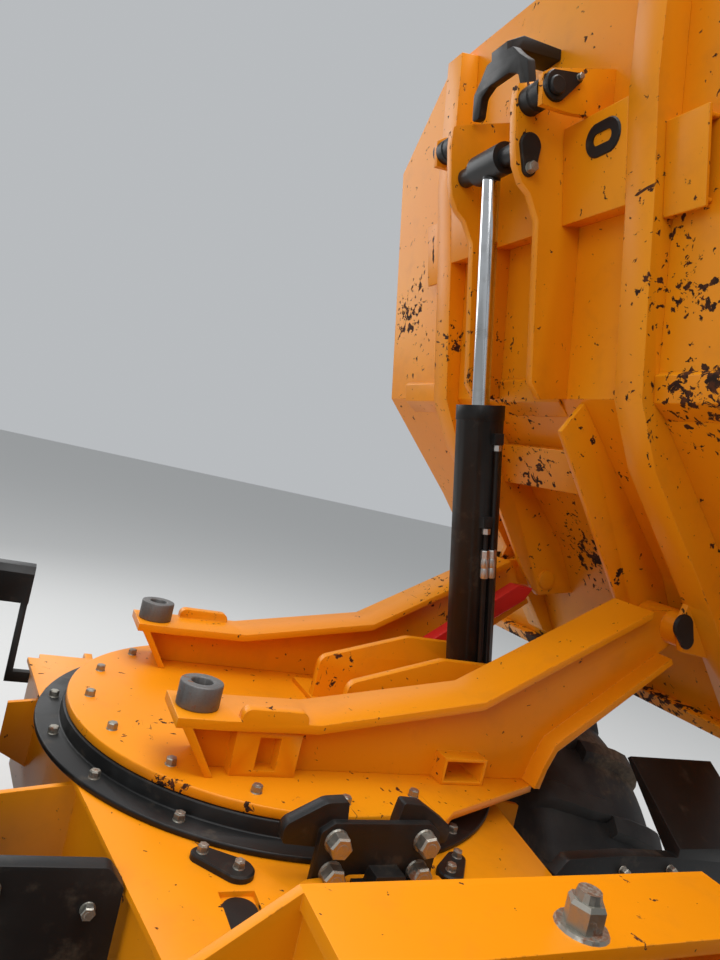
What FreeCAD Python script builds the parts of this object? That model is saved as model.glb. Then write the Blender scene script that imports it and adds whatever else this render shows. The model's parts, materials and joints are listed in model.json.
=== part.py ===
import FreeCAD, Part
import math
import os
import Sketcher

# A site dumper with a swivel skip, in millimetres.
# Machine frame: X forward, Y to the driver's left, Z up from the ground.
# Table frame: origin at the slewing axis on the turntable's top face, x towards the skip's hinge,
# y to the left of that, z up. The machine is parked with the skip slewed to its right and tipped.

doc = FreeCAD.newDocument("site_dumper")
sheet = doc.addObject("Spreadsheet::Sheet", "sizes")

# name, value, what it is
SIZES = [
    ("axis_fore", 979.5, "slewing axis ahead of the middle of the parked outline"),
    ("axis_left", 140.8, "slewing axis left of the middle of the parked outline"),
    ("slew_angle", 90, "skip slewed to the right of straight ahead"),
    ("tip_angle", 74.6, "skip tipped about its hinge"),
    ("table_top", 990, "turntable top above the ground"),
    ("table_radius", 498, "turntable disc"),
    ("table_plate", 20, "turntable thickness"),
    ("ring_flange_radius", 555, "outer edge of the slewing ring's flange"),
    ("ring_wall_radius", 503, "upright wall of the slewing ring"),
    ("ring_inner_radius", 430, "inside of the slewing ring"),
    ("ring_flange", 12, "thickness of the slewing ring's flange"),
    ("running_gap", 0.3, "gap under the turntable"),
    ("deck_drop", 62, "front deck below the turntable top"),
    ("deck_plate", 12, "front deck plate"),
    ("deck_front", 400, "front edge of the deck ahead of the slewing axis"),
    ("deck_front_half", 575, "half width of the deck at its front edge"),
    ("deck_mid_half", 524, "half width of the deck beside the slewing axis"),
    ("deck_mid", 30, "place of that width behind the slewing axis"),
    ("deck_rear_half", 384, "half width of the deck at its rear corners"),
    ("deck_rear", 752, "rear corners of the deck behind the slewing axis"),
    ("chassis_floor", 640, "underside of both chassis boxes above the ground"),
    ("pivot_back", 1056, "steering pivot behind the slewing axis"),
    ("pivot_pin_radius", 40, "steering pivot pin"),
    ("pin_gap", 0.05, "radial gap of a running pin"),
    ("knuckle_radius", 118, "round end of the tongue and of the fork lugs"),
    ("lug_plate", 25, "fork lug plates"),
    ("lug_gap", 8, "gap between tongue and fork lugs"),
    ("eye_bore", 20, "bore of the tie-down eyes on the nose"),
    ("tow_bore", 16, "bore of the tow pin in the counterweight"),
    ("wheel_fore", 100, "front axle ahead of the slewing axis"),
    ("rear_axle_back", 2212, "rear axle behind the slewing axis"),
    ("axle_height", 534.33, "axles above the ground"),
    ("half_track", 888, "wheel centre plane from the middle"),
    ("tyre_radius", 535, "tyre to the tips of its lugs"),
    ("tyre_width", 400, "tyre"),
    ("lug_height", 34, "tyre lugs"),
    ("rim_radius", 254, "rim under the tyre's bead"),
    ("rim_plate", 14, "rim band and disc"),
    ("spindle_radius", 60, "axle spindle in the wheel hub"),
    ("axle_tube_radius", 72, "axle housing tube"),
    ("arm_inner", 231, "inner edge of an arm's top flange from the table's middle line"),
    ("arm_outer", 368, "outer edge of an arm's top flange"),
    ("arm_web_inner", 301, "inner face of an arm's web"),
    ("arm_web", 20, "arm web thickness"),
    ("arm_flange", 20, "arm flange thickness"),
    ("hinge_x", 905, "skip hinge ahead of the slewing axis, along the table frame"),
    ("hinge_z", 428, "skip hinge above the turntable top"),
    ("hinge_pin_radius", 30, "skip hinge pins"),
    ("hinge_boss_radius", 46, "bosses round the hinge pins"),
    ("buffer_x", 289, "rubber buffers behind the slewing axis"),
    ("buffer_y", 299, "rubber buffers from the table's middle line"),
    ("buffer_radius", 43, "rubber buffers"),
    ("buffer_height", 49, "rubber buffers"),
    ("arm_rear_top", 112, "arm top under the buffers"),
    ("ram_base_x", 545, "lower pin of the tipping ram ahead of the slewing axis"),
    ("ram_base_z", 134, "lower pin of the tipping ram above the turntable top"),
    ("ram_pin_radius", 25, "pins of the tipping ram"),
    ("barrel_radius", 64, "tipping ram barrel"),
    ("barrel_length", 768, "barrel end from the ram's lower pin"),
    ("rod_radius", 24, "tipping ram rod"),
    ("rod_pin_x", 302, "rod pin behind the slewing axis with the skip lowered"),
    ("rod_pin_z", 66, "rod pin above the turntable top with the skip lowered"),
    ("eye_radius", 40, "eye on the rod"),
    ("skip_half", 870, "half width of the skip's floor"),
    ("skip_rim_half", 985, "half width of the skip's rim"),
    ("crease_x", 311, "crease across the skip's floor ahead of the slewing axis"),
    ("crease_z", 196, "crease above the turntable top with the skip lowered"),
    ("skip_rear", 790, "rear edge of the skip's floor behind the slewing axis"),
    ("skip_rear_z", 268, "rear edge of the skip's floor above the turntable top"),
    ("ramp_x", 800, "upper crease of the skip's front floor"),
    ("ramp_z", 490, "height of that crease"),
    ("lip_x", 1241, "skip's front lip"),
    ("lip_z", 632, "skip's front lip"),
    ("rim_z", 835, "skip's rim"),
    ("rim_front", 1010, "front end of the skip's rim"),
    ("rim_back", 850, "rear wall of the skip at its rim"),
    ("side_knee_z", 430, "height where the skip's side walls start to flare"),
    ("skip_plate", 9, "skip's floor and walls"),
    ("rail_inner", 376, "inner face of a skip rail"),
    ("rail_outer", 460, "outer face of a skip rail"),
    ("hinge_plate_inner", 205, "inner face of a skip hinge plate"),
    ("hinge_plate", 17, "skip hinge plate"),
    ("gusset_inner", 136, "inner face of a ram gusset under the skip"),
    ("gusset_plate", 24, "ram gusset"),
]

for row, (name, value, what) in enumerate(SIZES, 1):
    sheet.set("A%d" % row, name)
    sheet.set("B%d" % row, str(value))
    sheet.set("C%d" % row, what)
    sheet.setAlias("B%d" % row, name)
doc.recompute()


class Dim:
    """A length with its value now and the sheet expression that it follows."""

    def __init__(self, value, text):
        self.value = value
        self.text = text

    def joined(self, other, sign, value):
        return Dim(value, "(%s %s %s)" % (self.text, sign, text_of(other)))

    def __add__(self, other):
        return self.joined(other, "+", self.value + value_of(other))

    def __radd__(self, other):
        return dim(other) + self

    def __sub__(self, other):
        return self.joined(other, "-", self.value - value_of(other))

    def __rsub__(self, other):
        return dim(other) - self

    def __mul__(self, other):
        return self.joined(other, "*", self.value * value_of(other))

    def __rmul__(self, other):
        return dim(other) * self

    def __truediv__(self, other):
        return self.joined(other, "/", self.value / value_of(other))

    def __neg__(self):
        return Dim(-self.value, "(0 - %s)" % self.text)


def value_of(size):
    return size.value if isinstance(size, Dim) else float(size)


def text_of(size):
    return size.text if isinstance(size, Dim) else repr(float(size))


def dim(size):
    return size if isinstance(size, Dim) else Dim(float(size), repr(float(size)))


class Sizes:
    """The sheet's sizes by name."""


S = Sizes()
for name, value, what in SIZES:
    setattr(S, name, Dim(float(sheet.get(name)), "sizes." + name))


# Sketches and solids

AXES = {"XY": "XY_Plane", "XZ": "XZ_Plane", "YZ": "YZ_Plane"}


def place_point(sketch, geometry, end, x, y):
    for kind, size in (("DistanceX", x), ("DistanceY", y)):
        number = sketch.addConstraint(
            Sketcher.Constraint(kind, -1, 1, geometry, end, value_of(size)))
        if isinstance(size, Dim):
            sketch.setExpression("Constraints[%d]" % number, size.text)


def set_radius(sketch, geometry, radius):
    number = sketch.addConstraint(Sketcher.Constraint("Radius", geometry, value_of(radius)))
    if isinstance(radius, Dim):
        sketch.setExpression("Constraints[%d]" % number, radius.text)


def draw_outline(sketch, points):
    """Closed outline; a point is (x, y) or (x, y, radius of its rounded corner)."""
    count = len(points)
    at = [FreeCAD.Vector(value_of(p[0]), value_of(p[1]), 0) for p in points]
    radius = [p[2] if len(p) > 2 else None for p in points]
    before = [0.0] * count
    turn = [0.0] * count
    for i in range(count):
        into = (at[i] - at[i - 1]).normalize()
        out = (at[(i + 1) % count] - at[i]).normalize()
        turn[i] = math.atan2(into.x * out.y - into.y * out.x, into.dot(out))
        if radius[i] is not None:
            before[i] = value_of(radius[i]) * abs(math.tan(turn[i] / 2))
    lines = []
    for i in range(count):
        j = (i + 1) % count
        along = (at[j] - at[i]).normalize()
        start = at[i] + along * before[i]
        end = at[j] - along * before[j]
        lines.append(sketch.addGeometry(Part.LineSegment(start, end), False))
    for i in range(count):
        first, second = lines[i - 1], lines[i]
        if radius[i] is None:
            sketch.addConstraint(Sketcher.Constraint("Coincident", first, 2, second, 1))
            place_point(sketch, second, 1, points[i][0], points[i][1])
            continue
        size = value_of(radius[i])
        out = (at[(i + 1) % count] - at[i]).normalize()
        left = 1 if turn[i] > 0 else -1
        centre = at[i] + out * before[i] + FreeCAD.Vector(-out.y, out.x, 0) * size * left
        into = (at[i] - at[i - 1]).normalize()
        first_end = at[i] - into * before[i] - centre
        second_end = at[i] + out * before[i] - centre
        angles = [math.atan2(v.y, v.x) for v in (first_end, second_end)]
        if left < 0:
            angles.reverse()
        if angles[1] < angles[0]:
            angles[1] += 2 * math.pi
        circle = Part.Circle(centre, FreeCAD.Vector(0, 0, 1), size)
        arc = sketch.addGeometry(Part.ArcOfCircle(circle, angles[0], angles[1]), False)
        corner = sketch.addGeometry(Part.Point(at[i]), True)
        place_point(sketch, corner, 1, points[i][0], points[i][1])
        sketch.addConstraint(Sketcher.Constraint("PointOnObject", corner, 1, first))
        sketch.addConstraint(Sketcher.Constraint("PointOnObject", corner, 1, second))
        ends = (1, 2) if left > 0 else (2, 1)
        sketch.addConstraint(Sketcher.Constraint("Tangent", first, 2, arc, ends[0]))
        sketch.addConstraint(Sketcher.Constraint("Tangent", arc, ends[1], second, 1))
        set_radius(sketch, arc, radius[i])


def new_sketch(body, plane, offset, outlines, circles):
    sketch = body.newObject("Sketcher::SketchObject", body.Name + "_sketch")
    origin = [f for f in body.Origin.OriginFeatures if f.Role == AXES[plane]][0]
    sketch.AttachmentSupport = [(origin, "")]
    sketch.MapMode = "FlatFace"
    sketch.AttachmentOffset = FreeCAD.Placement(
        FreeCAD.Vector(0, 0, value_of(offset)), FreeCAD.Rotation())
    if isinstance(offset, Dim):
        sketch.setExpression("AttachmentOffset.Base.z", offset.text)
    for points in outlines:
        draw_outline(sketch, points)
    for x, y, radius in circles:
        centre = FreeCAD.Vector(value_of(x), value_of(y), 0)
        circle = Part.Circle(centre, FreeCAD.Vector(0, 0, 1), value_of(radius))
        geometry = sketch.addGeometry(circle, False)
        place_point(sketch, geometry, 3, x, y)
        set_radius(sketch, geometry, radius)
    return sketch


def new_body(name):
    return doc.addObject("PartDesign::Body", name)


def add_slab(body, plane, low, high, outline=None, circles=(), holes=()):
    """Adds material of this outline from low to high along the plane's own axis."""
    offset = -dim(high) if plane == "XZ" else low
    outlines = ([outline] if outline else []) + list(holes)
    pad = body.newObject("PartDesign::Pad", body.Name + "_pad")
    pad.Profile = new_sketch(body, plane, offset, outlines, circles)
    length = dim(high) - low
    pad.Length = length.value
    pad.setExpression("Length", length.text)
    return pad


def cut_slab(body, plane, low, high, outline=None, circles=()):
    """Takes material of this outline away from low to high along the plane's own axis."""
    offset = -dim(low) if plane == "XZ" else high
    outlines = [outline] if outline else []
    sketch = new_sketch(body, plane, offset, outlines, circles)
    doc.recompute()
    before = body.Shape.Volume
    pocket = body.newObject("PartDesign::Pocket", body.Name + "_pocket")
    pocket.Profile = sketch
    length = dim(high) - low
    pocket.Length = length.value
    pocket.setExpression("Length", length.text)
    doc.recompute()
    if body.Shape.Volume > before - 1:
        raise ValueError("a cut in %s takes nothing away" % body.Name)
    return pocket


def add_turned(body, plane, outline, axis, circles=()):
    """Adds a turned solid; axis is H_Axis or V_Axis of the sketch."""
    turned = body.newObject("PartDesign::Revolution", body.Name + "_turned")
    sketch = new_sketch(body, plane, 0, [outline] if outline else [], circles)
    turned.Profile = sketch
    turned.ReferenceAxis = (sketch, [axis])
    turned.Angle = 360
    return turned


def box(low_x, high_x, low_y, high_y):
    return [(low_x, low_y), (high_x, low_y), (high_x, high_y), (low_x, high_y)]


def plate(name, plane, low, high, outline, circles=()):
    body = new_body(name)
    add_slab(body, plane, low, high, outline, circles)
    return body


def cylinder(name, radius, centre, axis, length):
    """Cylinder centred on a point, along x, y or z."""
    solid = doc.addObject("Part::Cylinder", name)
    solid.setExpression("Radius", dim(radius).text)
    solid.setExpression("Height", dim(length).text)
    turns = {"x": ((0, 1, 0), 90), "y": ((1, 0, 0), -90), "z": ((0, 0, 1), 0)}
    vector, angle = turns[axis]
    start = [dim(c) for c in centre]
    start["xyz".index(axis)] = start["xyz".index(axis)] - dim(length) / 2
    solid.Placement = FreeCAD.Placement(
        FreeCAD.Vector(*[c.value for c in start]),
        FreeCAD.Rotation(FreeCAD.Vector(*vector), angle))
    for word, size in zip("xyz", start):
        solid.setExpression("Placement.Base." + word, size.text)
    return solid


def fused(name, pieces):
    whole = doc.addObject("Part::MultiFuse", name)
    whole.Shapes = pieces
    whole.Refine = True
    return whole


def cut(name, base, tool):
    whole = doc.addObject("Part::Cut", name)
    whole.Base = base
    whole.Tool = tool
    return whole


def group(name, pieces):
    whole = doc.addObject("Part::Compound", name)
    whole.Links = pieces
    return whole


def side_span(side, inner, outer):
    """The same stretch on the left (side 1) or on the right (side -1)."""
    return (dim(inner), dim(outer)) if side > 0 else (-dim(outer), -dim(inner))


SIDES = ((1, "left"), (-1, "right"))

# Frames of the machine, the table, the skip and the ram

MACHINE = FreeCAD.Placement(
    FreeCAD.Vector(S.axis_fore.value, S.axis_left.value, 0), FreeCAD.Rotation())
TABLE = MACHINE * FreeCAD.Placement(
    FreeCAD.Vector(0, 0, S.table_top.value),
    FreeCAD.Rotation(FreeCAD.Vector(0, 0, 1), -S.slew_angle.value))
HINGE = FreeCAD.Vector(S.hinge_x.value, 0, S.hinge_z.value)
TIP = FreeCAD.Placement(
    FreeCAD.Vector(), FreeCAD.Rotation(FreeCAD.Vector(0, 1, 0), S.tip_angle.value), HINGE)
SKIP = TABLE * TIP
RAM_BASE = FreeCAD.Vector(S.ram_base_x.value, 0, S.ram_base_z.value)
ROD_PIN = TIP.multVec(FreeCAD.Vector(-S.rod_pin_x.value, 0, S.rod_pin_z.value))
RAM_REACH = (ROD_PIN - RAM_BASE).Length
RAM_LEAN = math.degrees(math.atan2(ROD_PIN.x - RAM_BASE.x, ROD_PIN.z - RAM_BASE.z))
RAM = TABLE * FreeCAD.Placement(
    RAM_BASE, FreeCAD.Rotation(FreeCAD.Vector(0, 1, 0), RAM_LEAN))

nodes = []


def keep(label, solid, frame):
    """Names a sub-part and puts it in its frame."""
    solid.Label = label
    solid.Placement = frame
    nodes.append((label, solid))
    return solid


# Front chassis: a deck on a closed box that tapers back to the tongue of the steering pivot

deck_top = S.table_top - S.deck_drop
deck_under = deck_top - S.deck_plate


def deck_outline(inset):
    """Half outline of the deck from its front edge to the tongue, both sides."""
    half = [
        (S.deck_front - inset, S.deck_front_half - inset),
        (-S.deck_mid, S.deck_mid_half - inset),
        (-S.deck_rear + inset, S.deck_rear_half - inset),
        (-S.pivot_back + S.knuckle_radius, S.knuckle_radius - 2),
        (-S.pivot_back, S.knuckle_radius - 2),
    ]
    return half + [(x, -y) for x, y in reversed(half)]


front_chassis = new_body("front_chassis")
add_slab(front_chassis, "XY", deck_under, deck_top, deck_outline(0))
add_slab(front_chassis, "XY", S.chassis_floor, deck_under, deck_outline(14))
add_slab(front_chassis, "XY", S.chassis_floor + 20, deck_under - 16,
         box(S.deck_front - 20, S.deck_front + 120, -540, 540))
for side, word in SIDES:
    low, high = side_span(side, 390, 412)
    add_slab(front_chassis, "XZ", low, high, [
        (S.deck_front + 110, 745), (S.deck_front + 216, 810, 24), (S.deck_front + 216, 890, 24),
        (S.deck_front + 110, 890)], circles=[(S.deck_front + 176, 850, S.eye_bore)])
for low, high in ((-250, -236), (180, 194)):
    for side, word in SIDES:
        inner, outer = side_span(side, 440, 606)
        rib = [(inner, S.chassis_floor + 40), (outer, S.chassis_floor + 130),
               (outer, deck_top - 40), (inner, deck_under)]
        if side < 0:
            rib = [(outer, S.chassis_floor + 40), (inner, S.chassis_floor + 130),
                   (inner, deck_top - 40), (outer, deck_under)]
        add_slab(front_chassis, "YZ", low, high, rib)
for side, word in SIDES:
    inner, outer = side_span(side, 250, 400)
    add_slab(front_chassis, "XY", S.chassis_floor - 32, S.chassis_floor,
             box(S.wheel_fore - 95, S.wheel_fore + 95, inner, outer))
add_slab(front_chassis, "XY", S.chassis_floor - 30, deck_top,
         circles=[(-S.pivot_back, 0, S.knuckle_radius)])
cut_slab(front_chassis, "XY", S.chassis_floor - 40, deck_top + 10,
         circles=[(-S.pivot_back, 0, S.pivot_pin_radius + S.pin_gap)])
hump_near = -S.table_radius - 109
for hump in ([(150, deck_top), (128, deck_top + 13), (70, deck_top + 19), (46, deck_top)],
             [(-78, deck_top), (-96, deck_top + 19), (-134, deck_top + 13), (-152, deck_top)]):
    add_slab(front_chassis, "YZ", hump_near - 25, hump_near, hump)
cut_slab(front_chassis, "XY", deck_top - 10, deck_top + 1, box(-700, -612, 216, 276))
keep("front_chassis", front_chassis, MACHINE)

# Slewing ring: flange on the deck and the upright wall under the turntable

ring_low = -S.deck_drop
ring_step = ring_low + S.ring_flange
ring_high = -S.table_plate - S.running_gap
slew_ring = new_body("slew_ring")
add_turned(slew_ring, "XZ", [
    (S.ring_inner_radius, ring_low),
    (S.ring_flange_radius, ring_low),
    (S.ring_flange_radius, ring_step),
    (S.ring_wall_radius, ring_step),
    (S.ring_wall_radius, ring_high),
    (S.ring_inner_radius, ring_high),
], "V_Axis")
keep("slew_ring", slew_ring, TABLE)

# Black clamp on the deck behind the ring: four bolt plate, two claws and a stepped block

claw_near = -S.table_radius - 68
claw_far = claw_near - 26
plate_far = claw_far - 14
slew_clamp = new_body("slew_clamp")
add_slab(slew_clamp, "XZ", plate_far, claw_far, [
    (-118, ring_low), (-70, ring_low), (-52, -44, 16), (46, -44, 16), (64, ring_low), (116, ring_low),
    (118, 30, 8), (96, 46, 8), (-96, 46, 8), (-118, 30, 8)])
for mirror, word in SIDES:
    claw = [(-66, -4), (-66, 40), (-72, 77, 5), (-112, 74, 30), (-183, 34, 20), (-178, 4, 6), (-100, -4)]
    if mirror < 0:
        claw = [(-point[0] - 34,) + point[1:] for point in claw]
    add_slab(slew_clamp, "XZ", claw_far - 1, claw_near, claw)
add_slab(slew_clamp, "XZ", plate_far - 34, plate_far, [
    (-44, ring_low), (-44, -50), (-20, -50), (-14, -28), (42, -28), (48, -50), (73, -50),
    (73, ring_low)])
keep("slew_clamp", slew_clamp, TABLE)

# Turntable: disc with a stepped plate towards the arms

turntable = new_body("turntable")
add_slab(turntable, "XY", -S.table_plate, 0, circles=[(0, 0, S.table_radius)])
front_plate = [(0, -430), (120, -470), (176, -529), (239, -473), (545, -345)]
add_slab(turntable, "XY", -S.table_plate, 0,
         front_plate + [(x, -y) for x, y in reversed(front_plate)])
keep("turntable", turntable, TABLE)

# Two arms: welded beams with top and bottom flanges, boxed ends and a boss at the hinge

ARM_TOP = [(-338, S.arm_rear_top), (-240, S.arm_rear_top), (-47, 116), (338, 195), (775, 462)]
for side, word in SIDES:
    arm = new_body("arm_" + word)
    web = side_span(side, S.arm_web_inner, S.arm_web_inner + S.arm_web)
    flange = side_span(side, S.arm_inner, S.arm_outer)
    add_slab(arm, "XZ", web[0], web[1], [
        (-262, 0), (545, 0), (545, 52), (565, 104), (880, 352), (S.hinge_x + 30, S.hinge_z - 30),
        (S.hinge_x, S.hinge_z + 44), (775, 450), (338, 185), (-47, 104), (-326, 100)])
    top = [(x, z) for x, z in ARM_TOP] + [(x, z - S.arm_flange) for x, z in reversed(ARM_TOP)]
    add_slab(arm, "XZ", flange[0], flange[1], top)
    add_slab(arm, "XZ", flange[0], flange[1], [(531, 0), (545, 56), (565, 108), (874, 352),
                                                (884, 338), (576, 92), (558, 46), (548, 0)])
    add_slab(arm, "XZ", flange[0], flange[1],
             [(-262, 0), (-246, 0), (-310, 100), (-330, 100)])
    add_slab(arm, "XZ", flange[0], flange[1],
             circles=[(S.hinge_x, S.hinge_z, S.hinge_boss_radius)])
    tube = side_span(side, S.arm_inner + 10, S.arm_outer - 6)
    add_slab(arm, "XZ", tube[0], tube[1], box(271, 385, 0, 60))
    cut_slab(arm, "XZ", tube[0] - 1, tube[1] + 1, box(279, 377, 8, 52))
    doubler = side_span(side, S.arm_web_inner + S.arm_web, S.arm_outer - 12)
    add_slab(arm, "XZ", doubler[0], doubler[1], [(-214, 0), (-76, 0), (-76, 90), (-214, 90)],
             holes=[box(-164, -120, 12, 78)])
    tab = side_span(side, S.arm_outer - 28, S.arm_outer)
    add_slab(arm, "XZ", tab[0], tab[1], [
        (-214, S.arm_rear_top - 12), (-76, S.arm_rear_top - 12), (-76, S.arm_rear_top + 26, 18),
        (-214, S.arm_rear_top + 26, 18)])
    bore = S.hinge_pin_radius + S.pin_gap
    cut_slab(arm, "XZ", flange[0] - 1, flange[1] + 1, circles=[(S.hinge_x, S.hinge_z, bore)])
    keep("arm_" + word, arm, TABLE)

# Buffers on the arms
rings = []
for side, word in SIDES:
    ring = new_body("buffer_" + word)
    add_slab(ring, "XY", S.arm_rear_top, S.arm_rear_top + S.buffer_height,
             circles=[(-S.buffer_x, S.buffer_y * side, S.buffer_radius),
                      (-S.buffer_x, S.buffer_y * side, S.buffer_radius * 0.5)])
    rings.append(ring)
keep("buffers", group("buffers", rings), TABLE)

# Bridge between the arms: sloping cross plate and the two lugs of the ram's lower pin

bridge = new_body("ram_bridge")
between_arms = S.arm_inner - S.running_gap
add_slab(bridge, "XZ", -between_arms, between_arms, [
    (545, 0), (545, 20), (598, 72), (690, 164), (700, 152), (612, 72), (560, 0)])
add_slab(bridge, "XZ", -between_arms, between_arms, box(120, 560, 0, 12))
for side, word in SIDES:
    low, high = side_span(side, 86, 110)
    add_slab(bridge, "XZ", low, high, [
        (126, 12), (126, 120, 30), (380, 205, 60), (560, 205, 50), (640, 110), (640, 96), (560, 12)])
base_pin = cylinder("ram_base_pin", S.ram_pin_radius, (S.ram_base_x, 0, S.ram_base_z), "y", 250)
keep("ram_bridge", fused("ram_bridge_whole", [bridge, base_pin]), TABLE)

# Red prop along the far arm

prop = plate("safety_prop", "XZ", 150, 198, [
    (404, 12 + S.running_gap), (446, 12 + S.running_gap), (446, 97), (800, 356), (822, 398),
    (764, 398), (404, 118)])
keep("safety_prop", prop, TABLE)

# Tipping ram, modelled upright from its lower pin

barrel = new_body("ram_barrel")
gland_low = S.barrel_length - 40
add_slab(barrel, "XY", 60, gland_low, circles=[(0, 0, S.barrel_radius), (0, 0, S.rod_radius + 6)])
add_slab(barrel, "XY", gland_low, S.barrel_length,
         circles=[(0, 0, S.barrel_radius + 2), (0, 0, S.rod_radius + S.pin_gap)])
add_slab(barrel, "XY", 40, 62, circles=[(0, 0, S.barrel_radius)])
add_slab(barrel, "XZ", -50, 50, circles=[(0, 0, 46)])
add_slab(barrel, "XZ", -50, 50, box(-40, 40, 0, 50))
hose_y = -S.barrel_radius - 8
add_slab(barrel, "XZ", hose_y - 7, -49, circles=[(0, 0, 36)])
cut_slab(barrel, "XZ", hose_y - 8, 51, circles=[(0, 0, S.ram_pin_radius + S.pin_gap)])
for hose_x, port in ((-11, 442), (11, 664)):
    add_slab(barrel, "XY", 30, 313, circles=[(hose_x, hose_y, 7)])
    add_slab(barrel, "XY", 312, 372, circles=[(hose_x, hose_y, 9.5)])
    add_slab(barrel, "XY", 371, port + 1, circles=[(hose_x, hose_y, 6)])
    add_slab(barrel, "XY", port, port + 30,
             box(hose_x - 14, hose_x + 14, hose_y - 8, hose_y + 16))
keep("ram_barrel", barrel, RAM)

reach = Dim(RAM_REACH, repr(RAM_REACH))
rod = new_body("ram_rod")
add_slab(rod, "XY", 620, reach - 20, circles=[(0, 0, S.rod_radius)])
add_slab(rod, "XZ", -62, 62, circles=[(0, reach, S.eye_radius)])
add_slab(rod, "XZ", -S.gusset_inner + 6, S.gusset_inner - 6, circles=[(0, reach, S.ram_pin_radius)])
keep("ram_rod", rod, RAM)

# Underside of the skip's floor, less the seat of what is fixed under it

ahead_rise = (S.ramp_z - S.crease_z) / (S.ramp_x - S.crease_x)
behind_rise = (S.skip_rear_z - S.crease_z) / (S.crease_x + S.skip_rear)


def floor_ahead(x):
    return S.crease_z + (x - S.crease_x) * ahead_rise - S.running_gap


def floor_behind(x):
    return S.crease_z + (S.crease_x - x) * behind_rise - S.running_gap


lip_rise = (S.lip_z - S.ramp_z) / (S.lip_x - S.ramp_x)


def lip_floor(x):
    return S.ramp_z + (x - S.ramp_x) * lip_rise - S.running_gap


# Skip shell: three crossing outlines, hollowed to the plate's thickness

big = 1400


def skip_solid(name, wall, reach_up):
    """Skip body inside its walls by wall, its top raised by reach_up."""
    side = new_body(name + "_side")
    ahead = 60 if reach_up else 0
    rise = (S.lip_z - S.ramp_z) / (S.lip_x - S.ramp_x) * ahead
    add_slab(side, "XZ", -big, big, [
        (-S.skip_rear + wall, S.skip_rear_z + wall), (S.crease_x, S.crease_z + wall),
        (S.ramp_x, S.ramp_z + wall), (S.lip_x + ahead, S.lip_z + wall + rise),
        (S.lip_x + ahead, S.lip_z + 12 + rise + reach_up),
        (S.rim_front + ahead, S.rim_z + reach_up),
        (-S.rim_back + wall, S.rim_z + reach_up)])
    cross = new_body(name + "_cross")
    half = [(S.skip_half - wall, 0), (S.skip_half - wall, S.side_knee_z),
            (S.skip_rim_half - wall, S.rim_z), (S.skip_rim_half - wall, S.rim_z + reach_up + 1)]
    add_slab(cross, "YZ", -big, big, half + [(-y, z) for y, z in reversed(half)])
    plan = new_body(name + "_plan")
    half = [(big, big), (-442 + wall * 0.4, big), (-442 + wall * 0.4, 882 + 110 - wall),
            (-900 + wall, 400 - wall), (-900 + wall, 0)]
    add_slab(plan, "XY", 0, 1600, half[:-1] + [(x, -y) for x, y in reversed(half[:-1])])
    solid = doc.addObject("Part::MultiCommon", name)
    solid.Shapes = [side, cross, plan]
    return solid


outer = skip_solid("skip_outer", 0, 0)
hollow = skip_solid("skip_hollow", S.skip_plate, 200)
shell = cut("skip_shell", outer, hollow)
keep("skip_shell", shell, SKIP)

# Rim and lip of the skip

rim_bar = 46
outer_rim = skip_solid("rim_outer", -22, 60)
inner_rim = skip_solid("rim_inner", S.skip_plate + 12, 300)
band = plate("rim_band", "XY", S.rim_z + 0.0, S.rim_z + rim_bar, box(-1400, 1010, -big, big))
rim_ring = cut("rim_ring", outer_rim, inner_rim)
rim = doc.addObject("Part::MultiCommon", "rim_bar")
rim.Shapes = [rim_ring, band]

lip = new_body("skip_lip")
add_slab(lip, "XZ", -S.skip_half - 60, S.skip_half + 60, [
    (S.lip_x - 40, S.lip_z - 52), (S.lip_x + 2, S.lip_z - 36), (S.lip_x + 2, lip_floor(S.lip_x + 2)),
    (S.lip_x - 40, lip_floor(S.lip_x - 40))])
keep("skip_rim", group("skip_rim_and_lip", [rim, lip]), SKIP)

# Rails, cross beams and pads under the skip

rail_solids = []
for side, word in SIDES:
    rail = new_body("rail_" + word)
    low, high = side_span(side, S.rail_inner, S.rail_outer)
    add_slab(rail, "XZ", low, high, [
        (-760, floor_behind(-760)), (-760, 205), (-360, 166), (-110, 166), (S.crease_x, 152),
        (472, 200), (830, 400), (1150, 560), (1180, lip_floor(1180)),
        (S.ramp_x, S.ramp_z - S.running_gap), (S.crease_x, S.crease_z - S.running_gap)])
    low, high = side_span(side, S.rail_inner, S.rail_inner + 18)
    add_slab(rail, "XZ", low, high, [
        (820, 400), (870, 372), (S.hinge_x + 40, S.hinge_z - 46), (S.hinge_x + 70, 470),
        (1060, lip_floor(1060)), (840, lip_floor(840))])
    rail_solids.append(rail)
keep("skip_rails", group("skip_rails", rail_solids), SKIP)

beam_outline = [(-352, floor_behind(-352)), (-352, 166), (-120, 166), (-120, floor_behind(-120))]
gusset_outer = S.gusset_inner + S.gusset_plate
beams = [plate("beam_middle", "XZ", S.running_gap - S.gusset_inner,
               S.gusset_inner - S.running_gap, beam_outline)]
for side, word in SIDES:
    low, high = side_span(side, gusset_outer + S.running_gap, S.rail_inner - S.running_gap)
    beams.append(plate("beam_" + word, "XZ", low, high, beam_outline))
beams.append(plate("beam_front", "XZ", -S.hinge_plate_inner, S.hinge_plate_inner, [
    (450, floor_ahead(450)), (450, 236), (570, 262), (570, floor_ahead(570))]))


def crease_strip(depth):
    """Outline of a strip welded under the floor's crease."""
    return [(S.crease_x - 60, floor_behind(S.crease_x - 60)), (S.crease_x - 52, S.crease_z - depth),
            (S.crease_x + 8, S.crease_z - depth), (S.crease_x + 50, floor_ahead(S.crease_x + 50)),
            (S.crease_x, S.crease_z - S.running_gap)]


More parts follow.
